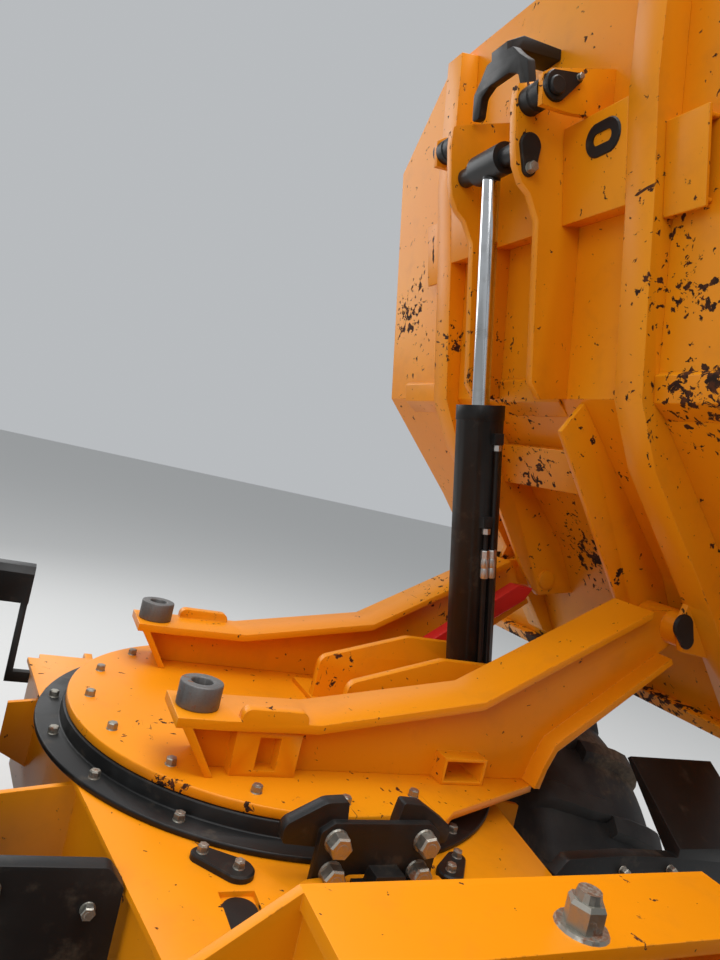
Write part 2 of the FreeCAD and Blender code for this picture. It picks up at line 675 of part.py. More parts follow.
between_gussets = S.gusset_inner - S.running_gap
beams.append(plate("strip_middle", "XZ", -between_gussets, between_gussets, crease_strip(5)))
for side, word in SIDES:
    low, high = side_span(side, S.rail_outer + S.running_gap, S.skip_half - 139)
    beams.append(plate("strip_" + word, "XZ", low, high, crease_strip(11)))
    bracket = new_body("bracket_" + word)
    low, high = side_span(side, S.rail_outer + S.running_gap, S.rail_outer + 110)
    add_slab(bracket, "XZ", low, high, box(-274, -75, 190, 200))
    low, high = side_span(side, S.rail_outer + S.running_gap, S.rail_outer + 12)
    add_slab(bracket, "XZ", low, high, [
        (-274, 199), (-75, 199), (-75, floor_behind(-75)), (-274, floor_behind(-274))])
    for start in (-262, -97):
        low, high = side_span(side, S.rail_outer + 10, S.rail_outer + 100)
        add_slab(bracket, "XZ", low, high, [
            (start, 199), (start + 10, 199), (start + 10, floor_behind(start + 10)),
            (start, floor_behind(start))])
    beams.append(bracket)
keep("skip_beams", group("skip_beams", beams), SKIP)

hinge_plates = []
for side, word in SIDES:
    inner = new_body("hinge_plate_" + word)
    low, high = side_span(side, S.hinge_plate_inner, S.hinge_plate_inner + S.hinge_plate)
    add_slab(inner, "XZ", low, high, [
        (321, floor_ahead(321)), (390, 131), (800, 310), (870, 342), (S.hinge_x + 50, S.hinge_z - 30),
        (S.hinge_x + 60, lip_floor(S.hinge_x + 60)), (S.ramp_x, S.ramp_z - S.running_gap)])
    pin_start = S.hinge_plate_inner - 12
    pin_end = S.rail_inner - S.running_gap
    pin = cylinder("hinge_pin_" + word, S.hinge_pin_radius,
                   (S.hinge_x, (pin_start + pin_end) / 2 * side, S.hinge_z), "y", pin_end - pin_start)
    hinge_plates.append(fused("hinge_" + word, [inner, pin]))
keep("skip_hinges", group("skip_hinges", hinge_plates), SKIP)

# Gussets that hold the rod's pin, with the ears of the upper pins

gussets = []
for side, word in SIDES:
    low, high = side_span(side, S.gusset_inner, gusset_outer)
    gusset = new_body("gusset_" + word)
    add_slab(gusset, "XZ", low, high, [
        (-478, floor_behind(-478)), (-448, 70), (-438, 31), (-391, 24), (-291, 24), (-255, 28),
        (-216, 44), (-191, 70), (-129, 96), (47, 92), (267, 84), (S.crease_x, 112),
        (S.crease_x, S.crease_z - S.running_gap)])
    gussets.append(gusset)
    low, high = side_span(side, 232, 248)
    ear = new_body("ear_" + word)
    add_slab(ear, "XZ", low, high, [
        (-470, floor_behind(-470)), (-443, 60), (-430, 34), (-361, 32), (-352.3, 107),
        (-352.3, floor_behind(-352.3))])
    gussets.append(ear)
    low, high = side_span(side, gusset_outer, 232)
    gussets.append(cylinder("upper_pin_" + word, 28, (-400, (dim(low) + high) / 2, 62), "y", 96))
keep("skip_gussets", fused("skip_gussets", gussets), SKIP)

yoke = new_body("skip_latch")
latch_low, latch_high = 84, 108
half = [(-576, 36), (-574, 58, 14), (-546, 86, 16), (-520, 120, 14), (-452, 128, 10), (-452, 96, 8),
        (-500, 82, 18), (-516, 44, 18)]
add_slab(yoke, "XY", latch_low, latch_high, half + [(p[0], -p[1]) + p[2:] for p in reversed(half)])
add_slab(yoke, "XZ", -36, 36, [
    (-604, floor_behind(-604)), (-618, 136), (-596, latch_low), (-570, latch_low),
    (-570, latch_high), (-582, 124), (-576, floor_behind(-576))])
keep("skip_latch", yoke, SKIP)

# Wheels: rim with its hub, and the tyre with two rows of slanting lugs


def wheel_frame(side, forward):
    turn = 0 if side > 0 else 180
    return MACHINE * FreeCAD.Placement(
        FreeCAD.Vector(forward.value, S.half_track.value * side, S.axle_height.value),
        FreeCAD.Rotation(FreeCAD.Vector(0, 0, 1), turn))


def build_rim(name):
    rim_body = new_body(name)
    half = S.tyre_width / 2 - 20
    bore = S.spindle_radius + S.pin_gap
    add_turned(rim_body, "XY", [
        (bore, -8), (S.rim_radius - S.rim_plate, -8),
        (S.rim_radius - S.rim_plate, -half), (S.rim_radius, -half), (S.rim_radius, half),
        (S.rim_radius - S.rim_plate, half),
        (S.rim_radius - S.rim_plate, 8), (150, 8), (122, 36), (122, 84), (0, 84), (0, 62),
        (bore, 62)], "V_Axis")
    return rim_body


LUGS = 15


def sloped_ring(name, radius, half, along, inward):
    """Flat-sided disc about the wheel's axis, two sides to each pair of lugs, its ends sloped."""
    outline = doc.addObject("Part::RegularPolygon", name + "_outline")
    outline.Polygon = 2 * LUGS
    outline.setExpression("Circumradius", radius.text)
    outline.Placement = FreeCAD.Placement(
        FreeCAD.Vector(0, half.value, 0), FreeCAD.Rotation(FreeCAD.Vector(1, 0, 0), 90))
    outline.setExpression("Placement.Base.y", half.text)
    block = doc.addObject("Part::Extrusion", name + "_block")
    block.Base = outline
    block.DirMode = "Custom"
    block.Dir = FreeCAD.Vector(0, -1, 0)
    block.setExpression("LengthFwd", (half * 2).text)
    block.Solid = True
    doc.recompute()
    slope = doc.addObject("Part::Chamfer", name + "_slope")
    slope.Base = block
    slope.Edges = [(number, along, inward) for number, edge in enumerate(block.Shape.Edges, 1)
                   if edge.Length < half.value]
    return slope


def build_tyre(name, lean):
    """Tyre whose carcass is where a sloping sidewall and a sloping shoulder cross."""
    half = S.tyre_width / 2
    crown = S.tyre_radius - S.lug_height
    rings = [sloped_ring(name + "_sidewall", crown, half, 16, 122),
             sloped_ring(name + "_shoulder", crown, half + 10, 62, 69)]
    carcass = doc.addObject("Part::MultiCommon", name + "_carcass")
    carcass.Shapes = rings
    doc.recompute()
    tyre = new_body(name)
    tyre.BaseFeature = carcass
    doc.recompute()
    seat = S.rim_radius + S.running_gap
    cut_slab(tyre, "XZ", -half - 1, half + 1, circles=[(0, 0, seat)])
    axis = [f for f in tyre.Origin.OriginFeatures if f.Role == "Y_Axis"][0]
    for row in (1, -1):
        shift = 15 * row
        lug = [(lean * 62 + shift, 4 * row), (lean * 6 + shift, 4 * row),
               (-lean * 60 + shift, (half - 4) * row), (lean * 8 + shift, (half - 4) * row)]
        if row * lean > 0:
            lug.reverse()
        pad = add_slab(tyre, "XY", crown - 52, S.tyre_radius - 5.1, lug)
        doc.recompute()
        pattern = tyre.newObject("PartDesign::PolarPattern", name + "_row")
        pattern.Originals = [pad]
        pattern.Axis = (axis, [""])
        pattern.Angle = 360
        pattern.Occurrences = LUGS
        tyre.Tip = pattern
        doc.recompute()
    return tyre


for forward, place in ((S.wheel_fore, "front"), (-S.rear_axle_back, "rear")):
    for side, word in SIDES:
        end = place + "_" + word
        keep("rim_" + end, build_rim("rim_" + end), wheel_frame(side, forward))
        keep("tyre_" + end, build_tyre("tyre_" + end, side), wheel_frame(side, forward))

# Axles: housing tube, differential, hub drums and spindles

for forward, place in ((S.wheel_fore, "front"), (-S.rear_axle_back, "rear")):
    axle = new_body("axle_" + place)
    drum_end = S.half_track - 26
    half = [(0, drum_end + 80), (S.spindle_radius, drum_end + 80), (S.spindle_radius, drum_end),
            (150, drum_end), (150, 640), (104, 610), (S.axle_tube_radius, 610),
            (S.axle_tube_radius, 0)]
    add_turned(axle, "XY", half + [(r, -y) for r, y in reversed(half[:-1])], "V_Axis")
    bowl = new_body("differential_" + place)
    add_turned(bowl, "XY", [(0, -170), (96, -170), (158, -70), (158, 70), (96, 170), (0, 170)],
               "V_Axis")
    bowl.Placement = FreeCAD.Placement(FreeCAD.Vector(0, 0, -70), FreeCAD.Rotation())
    frame = MACHINE * FreeCAD.Placement(
        FreeCAD.Vector(forward.value, 0, S.axle_height.value), FreeCAD.Rotation())
    seats = new_body("axle_seats_" + place)
    for side, word in SIDES:
        low, high = side_span(side, 270, 390)
        add_slab(seats, "XZ", low, high, box(-80, 80, 0, S.chassis_floor - 32 - S.axle_height))
    keep("axle_" + place, fused("axle_whole_" + place, [axle, bowl, seats]), frame)

# Black guards behind the front wheels, each with a raised flap

guard_back = 600
guards = []
for side, word in SIDES:
    guard = new_body("guard_front_" + word)
    outline = [(419.3, 700), (560, 560), (1030, 560), (1030, 950, 30), (600, 968, 30),
               (445, 962, 20), (419.3, 930)]
    if side < 0:
        outline = [(-point[0],) + point[1:] for point in reversed(outline)]
    add_slab(guard, "YZ", -guard_back, 28 - guard_back, outline)
    low, high = side_span(side, 757, 1040)
    add_slab(guard, "XZ", low, high, [
        (-600, 940), (-594, 930), (-408, 1096), (-417, 1104), (-600, 980)])
    guards.append(guard)
keep("front_guards", group("front_guards", guards), MACHINE)

# Headlamps on posts at the front corners

headlamps = []
for side, word in SIDES:
    lamp = new_body("headlamp_" + word)
    low, high = side_span(side, 598, 700)
    add_slab(lamp, "XZ", low, high, [
        (570, 1025), (570, 1112), (590, 1130), (640, 1130), (640, 1025)])
    low, high = side_span(side, 600, 618)
    add_slab(lamp, "XZ", low, high, [(574, 1040), (552, 1000), (500, 860), (500, 820), (524, 820),
                                     (524, 850), (578, 1000), (600, 1030)])
    low, high = side_span(side, 540, 618)
    add_slab(lamp, "XZ", low, high, box(500, 524, 820, 850))
    headlamps.append(lamp)
keep("headlamps", group("headlamps", headlamps), MACHINE)

# Rear chassis: fork of the pivot, keel box, rear plate and brackets

fork_top = deck_top + S.lug_gap + 2
fork_low = S.chassis_floor - 30 - S.lug_gap
keel_front = 1190
keel_rear = 2780
keel_half = 290
keel_top = 860
rear_chassis = new_body("rear_chassis")
for low, high in ((fork_top, fork_top + S.lug_plate), (fork_low - S.lug_plate, fork_low)):
    lug = [(-S.pivot_back - 60, 118), (-S.pivot_back, 118), (-S.pivot_back, -118),
           (-S.pivot_back - 60, -118), (-1100, -330), (-1250, -330), (-1250, 330), (-1100, 330)]
    add_slab(rear_chassis, "XY", low, high, lug)
    add_slab(rear_chassis, "XY", low, high, circles=[(-S.pivot_back, 0, S.knuckle_radius)])
add_slab(rear_chassis, "XY", fork_low - S.lug_plate, fork_top + S.lug_plate,
         box(-1250, -keel_front, -keel_half, keel_half))
add_slab(rear_chassis, "XY", S.chassis_floor, keel_top,
         box(-keel_rear, -1249, -keel_half, keel_half))
for side, word in SIDES:
    low, high = side_span(side, 250, 400)
    add_slab(rear_chassis, "XY", S.chassis_floor - 32, S.chassis_floor + 40,
             box(-S.rear_axle_back - 95, -S.rear_axle_back + 95, low, high))
    low, high = side_span(side, keel_half - 1, 560)
    add_slab(rear_chassis, "XY", 780, keel_top, box(-2190, -2050, low, high))
add_slab(rear_chassis, "XY", 600, 880, box(-keel_rear - 20, -keel_rear + 1, -420, 420))
cut_slab(rear_chassis, "XY", fork_low - 60, fork_top + 60,
         circles=[(-S.pivot_back, 0, S.pivot_pin_radius)])
keep("rear_chassis", rear_chassis, MACHINE)

fork_face = fork_top + S.lug_plate
pivot_pin = new_body("pivot_pin")
add_slab(pivot_pin, "XY", fork_low - S.lug_plate - 12, fork_face + 1,
         circles=[(-S.pivot_back, 0, S.pivot_pin_radius)])
add_slab(pivot_pin, "XY", fork_face, fork_face + 18, circles=[(-S.pivot_back, 0, 52)])
keep("pivot_pin", pivot_pin, MACHINE)

# Bulkhead in front of the driver: transverse plate, top flange and side gussets

front_wall = 960
wall_low = fork_top - 3
bulkhead = new_body("bulkhead")
add_slab(bulkhead, "YZ", -front_wall - 15, -front_wall, [
    (-90, fork_face + S.running_gap), (-90, wall_low), (-620, wall_low), (-620, 950),
    (-320, 1167), (320, 1167), (620, 950), (620, wall_low), (90, wall_low),
    (90, fork_face + S.running_gap)])
add_slab(bulkhead, "XY", 1147, 1167, box(-1092, -front_wall - 1, -320, 320))
for side, word in SIDES:
    low, high = side_span(side, 300, 314)
    add_slab(bulkhead, "XZ", low, high, [
        (-front_wall - 1, fork_face), (-front_wall - 1, 1150), (-1092, 1150), (-1240, 990),
        (-1240, fork_face)])
keep("bulkhead", bulkhead, MACHINE)

# Driver's place: floor plates, tanks with steps, console, wheel, seat

floors = []
for side, word in SIDES:
    low, high = side_span(side, keel_half + 0.3, 760)
    floor = plate("floor_" + word, "XY", 690, 702, box(-1650, -1200, low, high))
    low, high = side_span(side, keel_half + 0.3, 700)
    name = "fuel_tank" if side > 0 else "oil_tank"
    tank = new_body(name)
    add_slab(tank, "XZ", low, high, [
        (-1630, 430, 30), (-1256, 430, 30), (-1256, 690), (-1630, 690)])
    keep(name, tank, MACHINE)
    step = new_body("step_" + word)
    low, high = side_span(side, 702, 900)
    add_slab(step, "XY", 455, 467, box(-1600, -1260, low, high))
    for start in (-1600, -1272):
        add_slab(step, "YZ", start, start + 12, [
            (702 * side, 455), (900 * side, 455), (900 * side, 500), (758 * side, 690),
            (702 * side, 690)][::side])
    floors.append(fused("floor_step_" + word, [floor, step]))
keep("floors_and_steps", group("floors_and_steps", floors), MACHINE)

console_front = 1292
console = new_body("console")
add_slab(console, "XZ", -110, 110, [
    (-console_front, keel_top), (-console_front, 1310), (-1258, 1420, 30), (-1248, 1480, 12),
    (-1254, 1518, 12), (-1330, 1532, 20), (-1400, 1450, 40), (-1370, 1200, 60), (-1370, keel_top)])
column = new_body("column")
add_slab(column, "XY", -160, -30, circles=[(0, 0, 26)])
WHEEL_CENTRE = FreeCAD.Placement(
    FreeCAD.Vector(-1392, 0, 1592), FreeCAD.Rotation(FreeCAD.Vector(0, 1, 0), -45))
column.Placement = WHEEL_CENTRE
keep("console", fused("console_whole", [console, column]), MACHINE)

steering_wheel = new_body("steering_wheel")
add_turned(steering_wheel, "XZ", [
    (199, 0), (192, 12), (178, 12), (171, 0), (178, -12), (192, -12)], "V_Axis")
add_slab(steering_wheel, "XY", -29.7, 6, circles=[(0, 0, 42)])
add_slab(steering_wheel, "XY", -6, 4, box(-185, 0, -14, 14))
add_slab(steering_wheel, "XY", -6, 4, [(8, -12), (100, 140), (92, 158), (-14, 8)])
add_slab(steering_wheel, "XY", -6, 4, [(-14, -8), (92, -158), (100, -140), (8, 12)])
keep("steering_wheel", steering_wheel, MACHINE * WHEEL_CENTRE)

seat_base = plate("seat_base", "XZ", -240, 240, [
    (-1690, keel_top), (-1720, 1130), (-2060, 1130), (-2060, keel_top)])
cushion = plate("seat_cushion", "XZ", -235, 235, [
    (-2060, 1130.3), (-1650, 1130.3), (-1640, 1225, 30), (-2060, 1210)])
keep("seat_cushion", cushion, MACHINE)
back = plate("seat_back", "XZ", -225, 225, [
    (-2062, 1130.3), (-2110, 1130.3), (-2110, 1700, 20), (-2050, 1700, 20), (-2010, 1240), (-2062, 1211)])
keep("seat_back", back, MACHINE)

# Engine under its hood, with the hood's hinge on the wall behind the seat

hood_pin = 5
hood_pin_x, hood_pin_z = -2126, 1437

engine_wall = plate("engine_wall", "XY", keel_top, 1415, box(-2130, -2116, -330, 330))
wall_web = plate("wall_web", "XY", keel_top, 1130, box(-2117, -2059, -200, 200))
base_pieces = [seat_base, engine_wall, wall_web]
for side, word in SIDES:
    for near, far in ((150, 174), (246, 270)):
        low, high = side_span(side, near, far)
        base_pieces.append(plate("hood_lug", "XZ", low, high, [
            (-2134, 1400), (-2116, 1400), (-2116, 1448, 8), (-2136, 1448, 8), (-2136, 1424)]))
    base_pieces.append(cylinder("hood_pin_" + word, hood_pin, (hood_pin_x, 210 * side, hood_pin_z),
                                "y", 120))
keep("seat_base", fused("seat_base_whole", base_pieces), MACHINE)
engine = plate("engine", "XY", keel_top, 1300, box(-2700, -2180, -230, 230))
keep("engine", engine, MACHINE)

hood_low, hood_top = 912, 1422
hood = new_body("engine_hood")


def hood_outline(inset):
    return [(-330 + inset, hood_low), (330 - inset, hood_low), (330 - inset, 1300 - inset),
            (290 - inset, hood_top - inset), (-290 + inset, hood_top - inset), (-330 + inset, 1300 - inset)]


add_slab(hood, "YZ", -2790, -2136, hood_outline(0))
inner = hood_outline(5)
inner[0] = (-325, hood_low - 10)
inner[1] = (325, hood_low - 10)
cut_slab(hood, "YZ", -2785, -2130, inner)
slots = 7
for slot in range(slots):
    level = 960 + 44 * slot
    cut_slab(hood, "YZ", -2800, -2780, box(-220, 220, level, level + 20))
hood_leaves = [hood]
for side, word in SIDES:
    low, high = side_span(side, 180, 240)
    leaf = new_body("hood_leaf_" + word)
    add_slab(leaf, "XZ", low, high, [
        (-2190, hood_top), (hood_pin_x, hood_top + 5), (hood_pin_x, hood_top + 13),
        (-2190, hood_top + 6)])
    add_slab(leaf, "XZ", low, high, circles=[(hood_pin_x, hood_pin_z, 10)])
    cut_slab(leaf, "XZ", low - 1, high + 1, circles=[(hood_pin_x, hood_pin_z, hood_pin + 0.05)])
    hood_leaves.append(leaf)
keep("engine_hood", fused("hood_whole", hood_leaves), MACHINE)

exhaust = new_body("exhaust")
add_slab(exhaust, "XY", 850, 1240, circles=[(-2420, -430, 52)])
add_slab(exhaust, "XY", 1239, 1880, circles=[(-2420, -430, 28)])
add_slab(exhaust, "XY", 830, 850.5, box(-2470, -2370, -482, -keel_half - 0.3))
keep("exhaust", exhaust, MACHINE)

counterweight = new_body("counterweight")
add_slab(counterweight, "XY", 580, 900, [
    (-2800.3, -560), (-2800.3, 560), (-2900, 560, 40), (-2950, 480, 60), (-2950, -480, 60), (-2900, -560, 40)])
cut_slab(counterweight, "XY", 690, 760, box(-2951, -2860, -90, 90))
cut_slab(counterweight, "XY", 640, 901, circles=[(-2908, 0, S.tow_bore)])
keep("counterweight", counterweight, MACHINE)

lamps = []
for side, word in SIDES:
    low, high = side_span(side, 330, 450)
    lamps.append(plate("rear_lamp_" + word, "XY", 800, 860, box(-2966, -2950.3, low, high)))
keep("rear_lamps", group("rear_lamps", lamps), MACHINE)

mudguards = []
for side, word in SIDES:
    guard = new_body("mudguard_rear_" + word)
    outer_line = [(-1660, 760), (-1780, 1060), (-1860, 1130), (-2560, 1130), (-2700, 1010)]
    guard_in = S.half_track - S.tyre_width / 2 - 30
    low, high = side_span(side, guard_in, S.half_track + S.tyre_width / 2 - 6)
    add_slab(guard, "XZ", low, high, outer_line + [
        (-2694, 1004), (-2557, 1122), (-1863, 1122), (-1787, 1056), (-1668, 757)])
    low, high = side_span(side, guard_in - 8, guard_in + 1)
    add_slab(guard, "XZ", low, high, [
        (-1672, 766), (-1787, 1056), (-1863, 1122), (-2557, 1122), (-2694, 1004), (-2690, 900),
        (-2420, 830), (-1760, 830)])
    low, high = side_span(side, keel_half + 0.3, guard_in - 6)
    add_slab(guard, "XY", 840, 858, box(-2340, -2220, low, high))
    mudguards.append(guard)
keep("rear_mudguards", group("rear_mudguards", mudguards), MACHINE)

roll_frame = new_body("roll_frame")
for side, word in SIDES:
    low, high = side_span(side, 470, 550)
    add_slab(roll_frame, "XY", keel_top + 0.3, 2640, box(-2160, -2080, low, high))
add_slab(roll_frame, "XY", 2560, 2640, box(-2160, -2080, -471, 471))
add_slab(roll_frame, "XY", 1500, 1560, box(-2160, -2114, -471, 471))
keep("roll_frame", roll_frame, MACHINE)
beacon = plate("beacon", "XY", 2640.3, 2760, None, circles=[(-2120, 300, 55)])
keep("beacon", beacon, MACHINE)

doc.recompute()

faults = [obj.Name for obj in doc.Objects if "Invalid" in obj.State or "Error" in obj.State]
faults += [label for label, solid in nodes if solid.Shape.isNull() or not solid.Shape.isValid()]
if faults:
    raise ValueError("not built well: " + ", ".join(faults))
os.makedirs("parts", exist_ok=True)
for label, solid in nodes:
    solid.Shape.exportStep("parts/%s.step" % label)
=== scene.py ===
import bmesh
import bpy
import json
import math
from mathutils import Matrix, Vector
from mathutils.bvhtree import BVHTree

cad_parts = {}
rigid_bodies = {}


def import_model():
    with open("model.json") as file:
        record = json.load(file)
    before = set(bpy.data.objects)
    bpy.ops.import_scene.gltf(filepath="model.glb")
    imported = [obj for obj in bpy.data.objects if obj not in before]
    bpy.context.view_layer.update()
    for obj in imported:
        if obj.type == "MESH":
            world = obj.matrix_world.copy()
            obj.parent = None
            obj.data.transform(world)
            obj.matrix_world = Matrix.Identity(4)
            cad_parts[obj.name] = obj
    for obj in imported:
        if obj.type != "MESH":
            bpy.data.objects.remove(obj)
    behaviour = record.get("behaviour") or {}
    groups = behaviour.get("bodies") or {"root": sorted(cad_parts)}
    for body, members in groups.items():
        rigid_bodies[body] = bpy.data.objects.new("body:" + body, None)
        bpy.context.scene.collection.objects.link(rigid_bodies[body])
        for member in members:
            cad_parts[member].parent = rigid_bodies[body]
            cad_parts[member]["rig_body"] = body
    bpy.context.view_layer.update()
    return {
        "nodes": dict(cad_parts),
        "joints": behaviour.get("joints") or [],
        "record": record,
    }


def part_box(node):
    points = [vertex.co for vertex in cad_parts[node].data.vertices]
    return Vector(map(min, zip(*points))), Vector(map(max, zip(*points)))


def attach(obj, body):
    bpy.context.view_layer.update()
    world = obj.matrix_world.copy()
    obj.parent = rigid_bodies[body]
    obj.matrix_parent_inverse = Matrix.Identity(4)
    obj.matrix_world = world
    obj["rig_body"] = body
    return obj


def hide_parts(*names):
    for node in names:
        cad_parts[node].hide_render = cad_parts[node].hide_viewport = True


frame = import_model()
nodes = frame["nodes"]
joints = {joint["name"]: joint for joint in frame["joints"]}
slots = {row["node"]: row["material_slot"] for row in frame["record"]["subparts"]}

# Places come from the frame's joints: the slewing axis, the skip's hinge and the ram's lower pin

AXIS = Vector(joints["slew"]["pos_m"])
HINGE = Vector(joints["tip"]["pos_m"])
TIPPED = -math.radians(joints["tip"]["range_deg"][0])
HINGE_AHEAD = AXIS.y - HINGE.y
HINGE_ABOVE = HINGE.z - AXIS.z
UP, AHEAD, BACK, LEFT = Vector((0, 0, 1)), Vector((1, 0, 0)), Vector((-1, 0, 0)), Vector((0, 1, 0))
SIDES = ((1, "left"), (-1, "right"))


def on_machine(ahead, left, up):
    """A point by its distance ahead and left of the slewing axis and above the ground."""
    return Vector((AXIS.x + ahead, AXIS.y + left, up))


def on_table(out, side, up):
    """A point by its distance along the arms, to their left and above the turntable."""
    return Vector((AXIS.x + side, AXIS.y - out, AXIS.z + up))


def on_skip(out, side, up):
    """A point of the lowered skip, in the turntable's sizes, tipped with the skip."""
    along = out - HINGE_AHEAD
    above = up - HINGE_ABOVE
    return on_table(HINGE_AHEAD + along * math.cos(TIPPED) + above * math.sin(TIPPED), side,
                    HINGE_ABOVE - along * math.sin(TIPPED) + above * math.cos(TIPPED))


def turned_with_skip(out, side, up):
    """A direction of the lowered skip, tipped with it."""
    return on_skip(out, side, up) - on_skip(0, 0, 0)


ROD_EYE = on_skip(-0.302, 0.0, 0.066)
RAM_FOOT = Vector(joints["ram_turn"]["pos_m"])
RAM_UP = (ROD_EYE - RAM_FOOT).normalized()
RAM_OUT = Vector((0, -RAM_UP.z, RAM_UP.y))


def on_ram(out, side, along):
    """A point by its distance from the ram's lower pin, along the ram and square to it."""
    return RAM_FOOT + RAM_OUT * out + AHEAD * side + RAM_UP * along


# Node trees

class Wiring:
    """Adds nodes to a tree and joins them."""

    def __init__(self, tree):
        self.tree = tree

    def add(self, kind, inputs=None, **settings):
        """A new node, with its inputs given as values or as the outputs of other nodes."""
        node = self.tree.nodes.new(kind)
        for key, value in settings.items():
            setattr(node, key, value)
        for key, value in (inputs or {}).items():
            self.feed(node.inputs[key], value)
        return node

    def feed(self, socket, value):
        if isinstance(value, bpy.types.NodeSocket):
            self.tree.links.new(value, socket)
        elif socket.type == "RGBA":
            socket.default_value = (*value, 1.0)
        else:
            socket.default_value = value

    def maths(self, operation, first, second, clamped=True):
        node = self.add("ShaderNodeMath", {0: first, 1: second}, operation=operation, use_clamp=clamped)
        return node.outputs["Value"]


class Finish(Wiring):
    """A material with its shader, built from noise on Object coordinates."""

    def __init__(self, name, roughness=0.5, metallic=0.0, shine=0.5):
        self.material = bpy.data.materials.new(name)
        self.material.use_nodes = True
        super().__init__(self.material.node_tree)
        self.shader = self.tree.nodes["Principled BSDF"]
        self.feed(self.shader.inputs["Roughness"], roughness)
        self.feed(self.shader.inputs["Metallic"], metallic)
        self.feed(self.shader.inputs["Specular IOR Level"], shine)
        self.place = self.add("ShaderNodeTexCoord").outputs["Object"]

    def times(self, first, second):
        return self.maths("MULTIPLY", first, second)

    def plus(self, first, second):
        return self.maths("ADD", first, second)

    def most(self, first, second):
        return self.maths("MAXIMUM", first, second)

    def without(self, value):
        return self.maths("SUBTRACT", 1.0, value)

    def dot(self, first, second):
        node = self.add("ShaderNodeVectorMath", {0: first, 1: second}, operation="DOT_PRODUCT")
        return node.outputs["Value"]

    def stretched(self, scale):
        mapping = self.add("ShaderNodeMapping", {"Vector": self.place, "Scale": scale})
        return mapping.outputs["Vector"]

    def noise(self, scale, detail=3.0, roughness=0.5, place=None, distortion=0.0):
        """Noise of so many waves to a metre."""
        node = self.add("ShaderNodeTexNoise", {
            "Vector": place or self.place, "Scale": scale, "Detail": detail, "Roughness": roughness,
            "Distortion": distortion})
        return node.outputs["Fac"]

    def step(self, value, low, high):
        """None below the low value, all above the high one, and a soft slope between them."""
        node = self.add("ShaderNodeMapRange", {"Value": value, "From Min": low, "From Max": high},
                        clamp=True, interpolation_type="SMOOTHSTEP")
        return node.outputs["Result"]

    def mixed(self, mask, first, second):
        """The first colour, and the second where the mask is."""
        node = self.add("ShaderNodeMix", {"Factor": mask}, data_type="RGBA")
        for socket, value in zip((s for s in node.inputs if s.type == "RGBA"), (first, second)):
            self.feed(socket, value)
        return next(s for s in node.outputs if s.type == "RGBA")

    def mixed_value(self, mask, first, second):
        node = self.add("ShaderNodeMapRange", {"Value": mask, "To Min": first, "To Max": second}, clamp=True)
        return node.outputs["Result"]

    def height(self, value, distance, strength, under=None):
        """A bump so many metres high, over another bump where one is given."""
        inputs = {"Height": value, "Distance": distance, "Strength": strength}
        if under:
            inputs["Normal"] = under
        return self.add("ShaderNodeBump", inputs).outputs["Normal"]

    def edges(self, radius, low, high):
        """Where the solid has a sharp edge, from the difference of two normals."""
        rounded = self.add("ShaderNodeBevel", {"Radius": radius}, samples=2).outputs["Normal"]
        own = self.add("ShaderNodeNewGeometry").outputs["Normal"]
        return self.step(self.without(self.dot(rounded, own)), low, high)

    def near(self, centre, reach, soft=1.0):
        """A patch about a place, reaching so far along each axis, strongest in its middle."""
        scale = [1.0 / length for length in reach]
        shift = [-c * k for c, k in zip(centre, scale)]
        mapping = self.add("ShaderNodeMapping", {"Vector": self.place, "Location": shift, "Scale": scale},
                           vector_type="POINT")
        length = self.add("ShaderNodeVectorMath", {0: mapping.outputs["Vector"]}, operation="LENGTH")
        return self.step(length.outputs["Value"], 1.0, 1.0 - soft)

    def wear(self, color, roughness, metallic=None, normal=None):
        """Feeds the shader what varies over the surface, and gives the material."""
        for name, value in (("Base Color", color), ("Roughness", roughness),
                            ("Metallic", metallic), ("Normal", normal)):
            if value is not None:
                self.feed(self.shader.inputs[name], value)
        return self.material


# Colours

AMBER, AMBER_FADED = (0.80, 0.262, 0.003), (0.84, 0.315, 0.006)
RED, RED_FADED = (0.62, 0.018, 0.014), (0.70, 0.035, 0.025)
RUST_DARK, RUST = (0.022, 0.010, 0.006), (0.085, 0.026, 0.009)
SCOURED, SCOURED_PALE = (0.080, 0.043, 0.024), (0.175, 0.140, 0.110)
BLACK, BLACK_FADED, BLACK_WORN = (0.006, 0.006, 0.006), (0.016, 0.014, 0.012), (0.06, 0.055, 0.05)
DUST, SPOT_RUST = (0.10, 0.075, 0.05), (0.17, 0.065, 0.025)
CHROME, CHROME_OILED, EYE_BLACK = (0.66, 0.67, 0.68), (0.42, 0.42, 0.41), (0.010, 0.010, 0.010)
TYRE, TYRE_GREY = (0.020, 0.019, 0.019), (0.050, 0.047, 0.044)
MUD, MUD_DRY = (0.13, 0.095, 0.06), (0.24, 0.185, 0.125)
VINYL, VINYL_WORN = (0.018, 0.018, 0.019), (0.042, 0.041, 0.040)


# Materials

def scoured_inside(finish, color, rough, middle, floor, reach):
    """Paint rubbed off the faces that look at the skip's middle, most of all about its floor."""
    inward = finish.add("ShaderNodeVectorMath", {0: middle, 1: finish.place}, operation="SUBTRACT")
    own = finish.add("ShaderNodeTexCoord").outputs["Normal"]
    inside = finish.step(finish.dot(inward.outputs["Vector"], own), 0.0, 0.05)
    rubbed = finish.times(finish.near(floor, reach), 0.22)
    rubbed = finish.plus(rubbed, finish.noise(3.2, 8.0, 0.68, distortion=0.6))
    scoured = finish.times(inside, finish.step(rubbed, 0.61, 0.65))
    stained = finish.step(finish.noise(21.0, 7.0, 0.7), 0.35, 0.68)
    color = finish.mixed(scoured, color, finish.mixed(stained, SCOURED, SCOURED_PALE))
    return color, finish.most(rough, finish.times(scoured, 0.62))


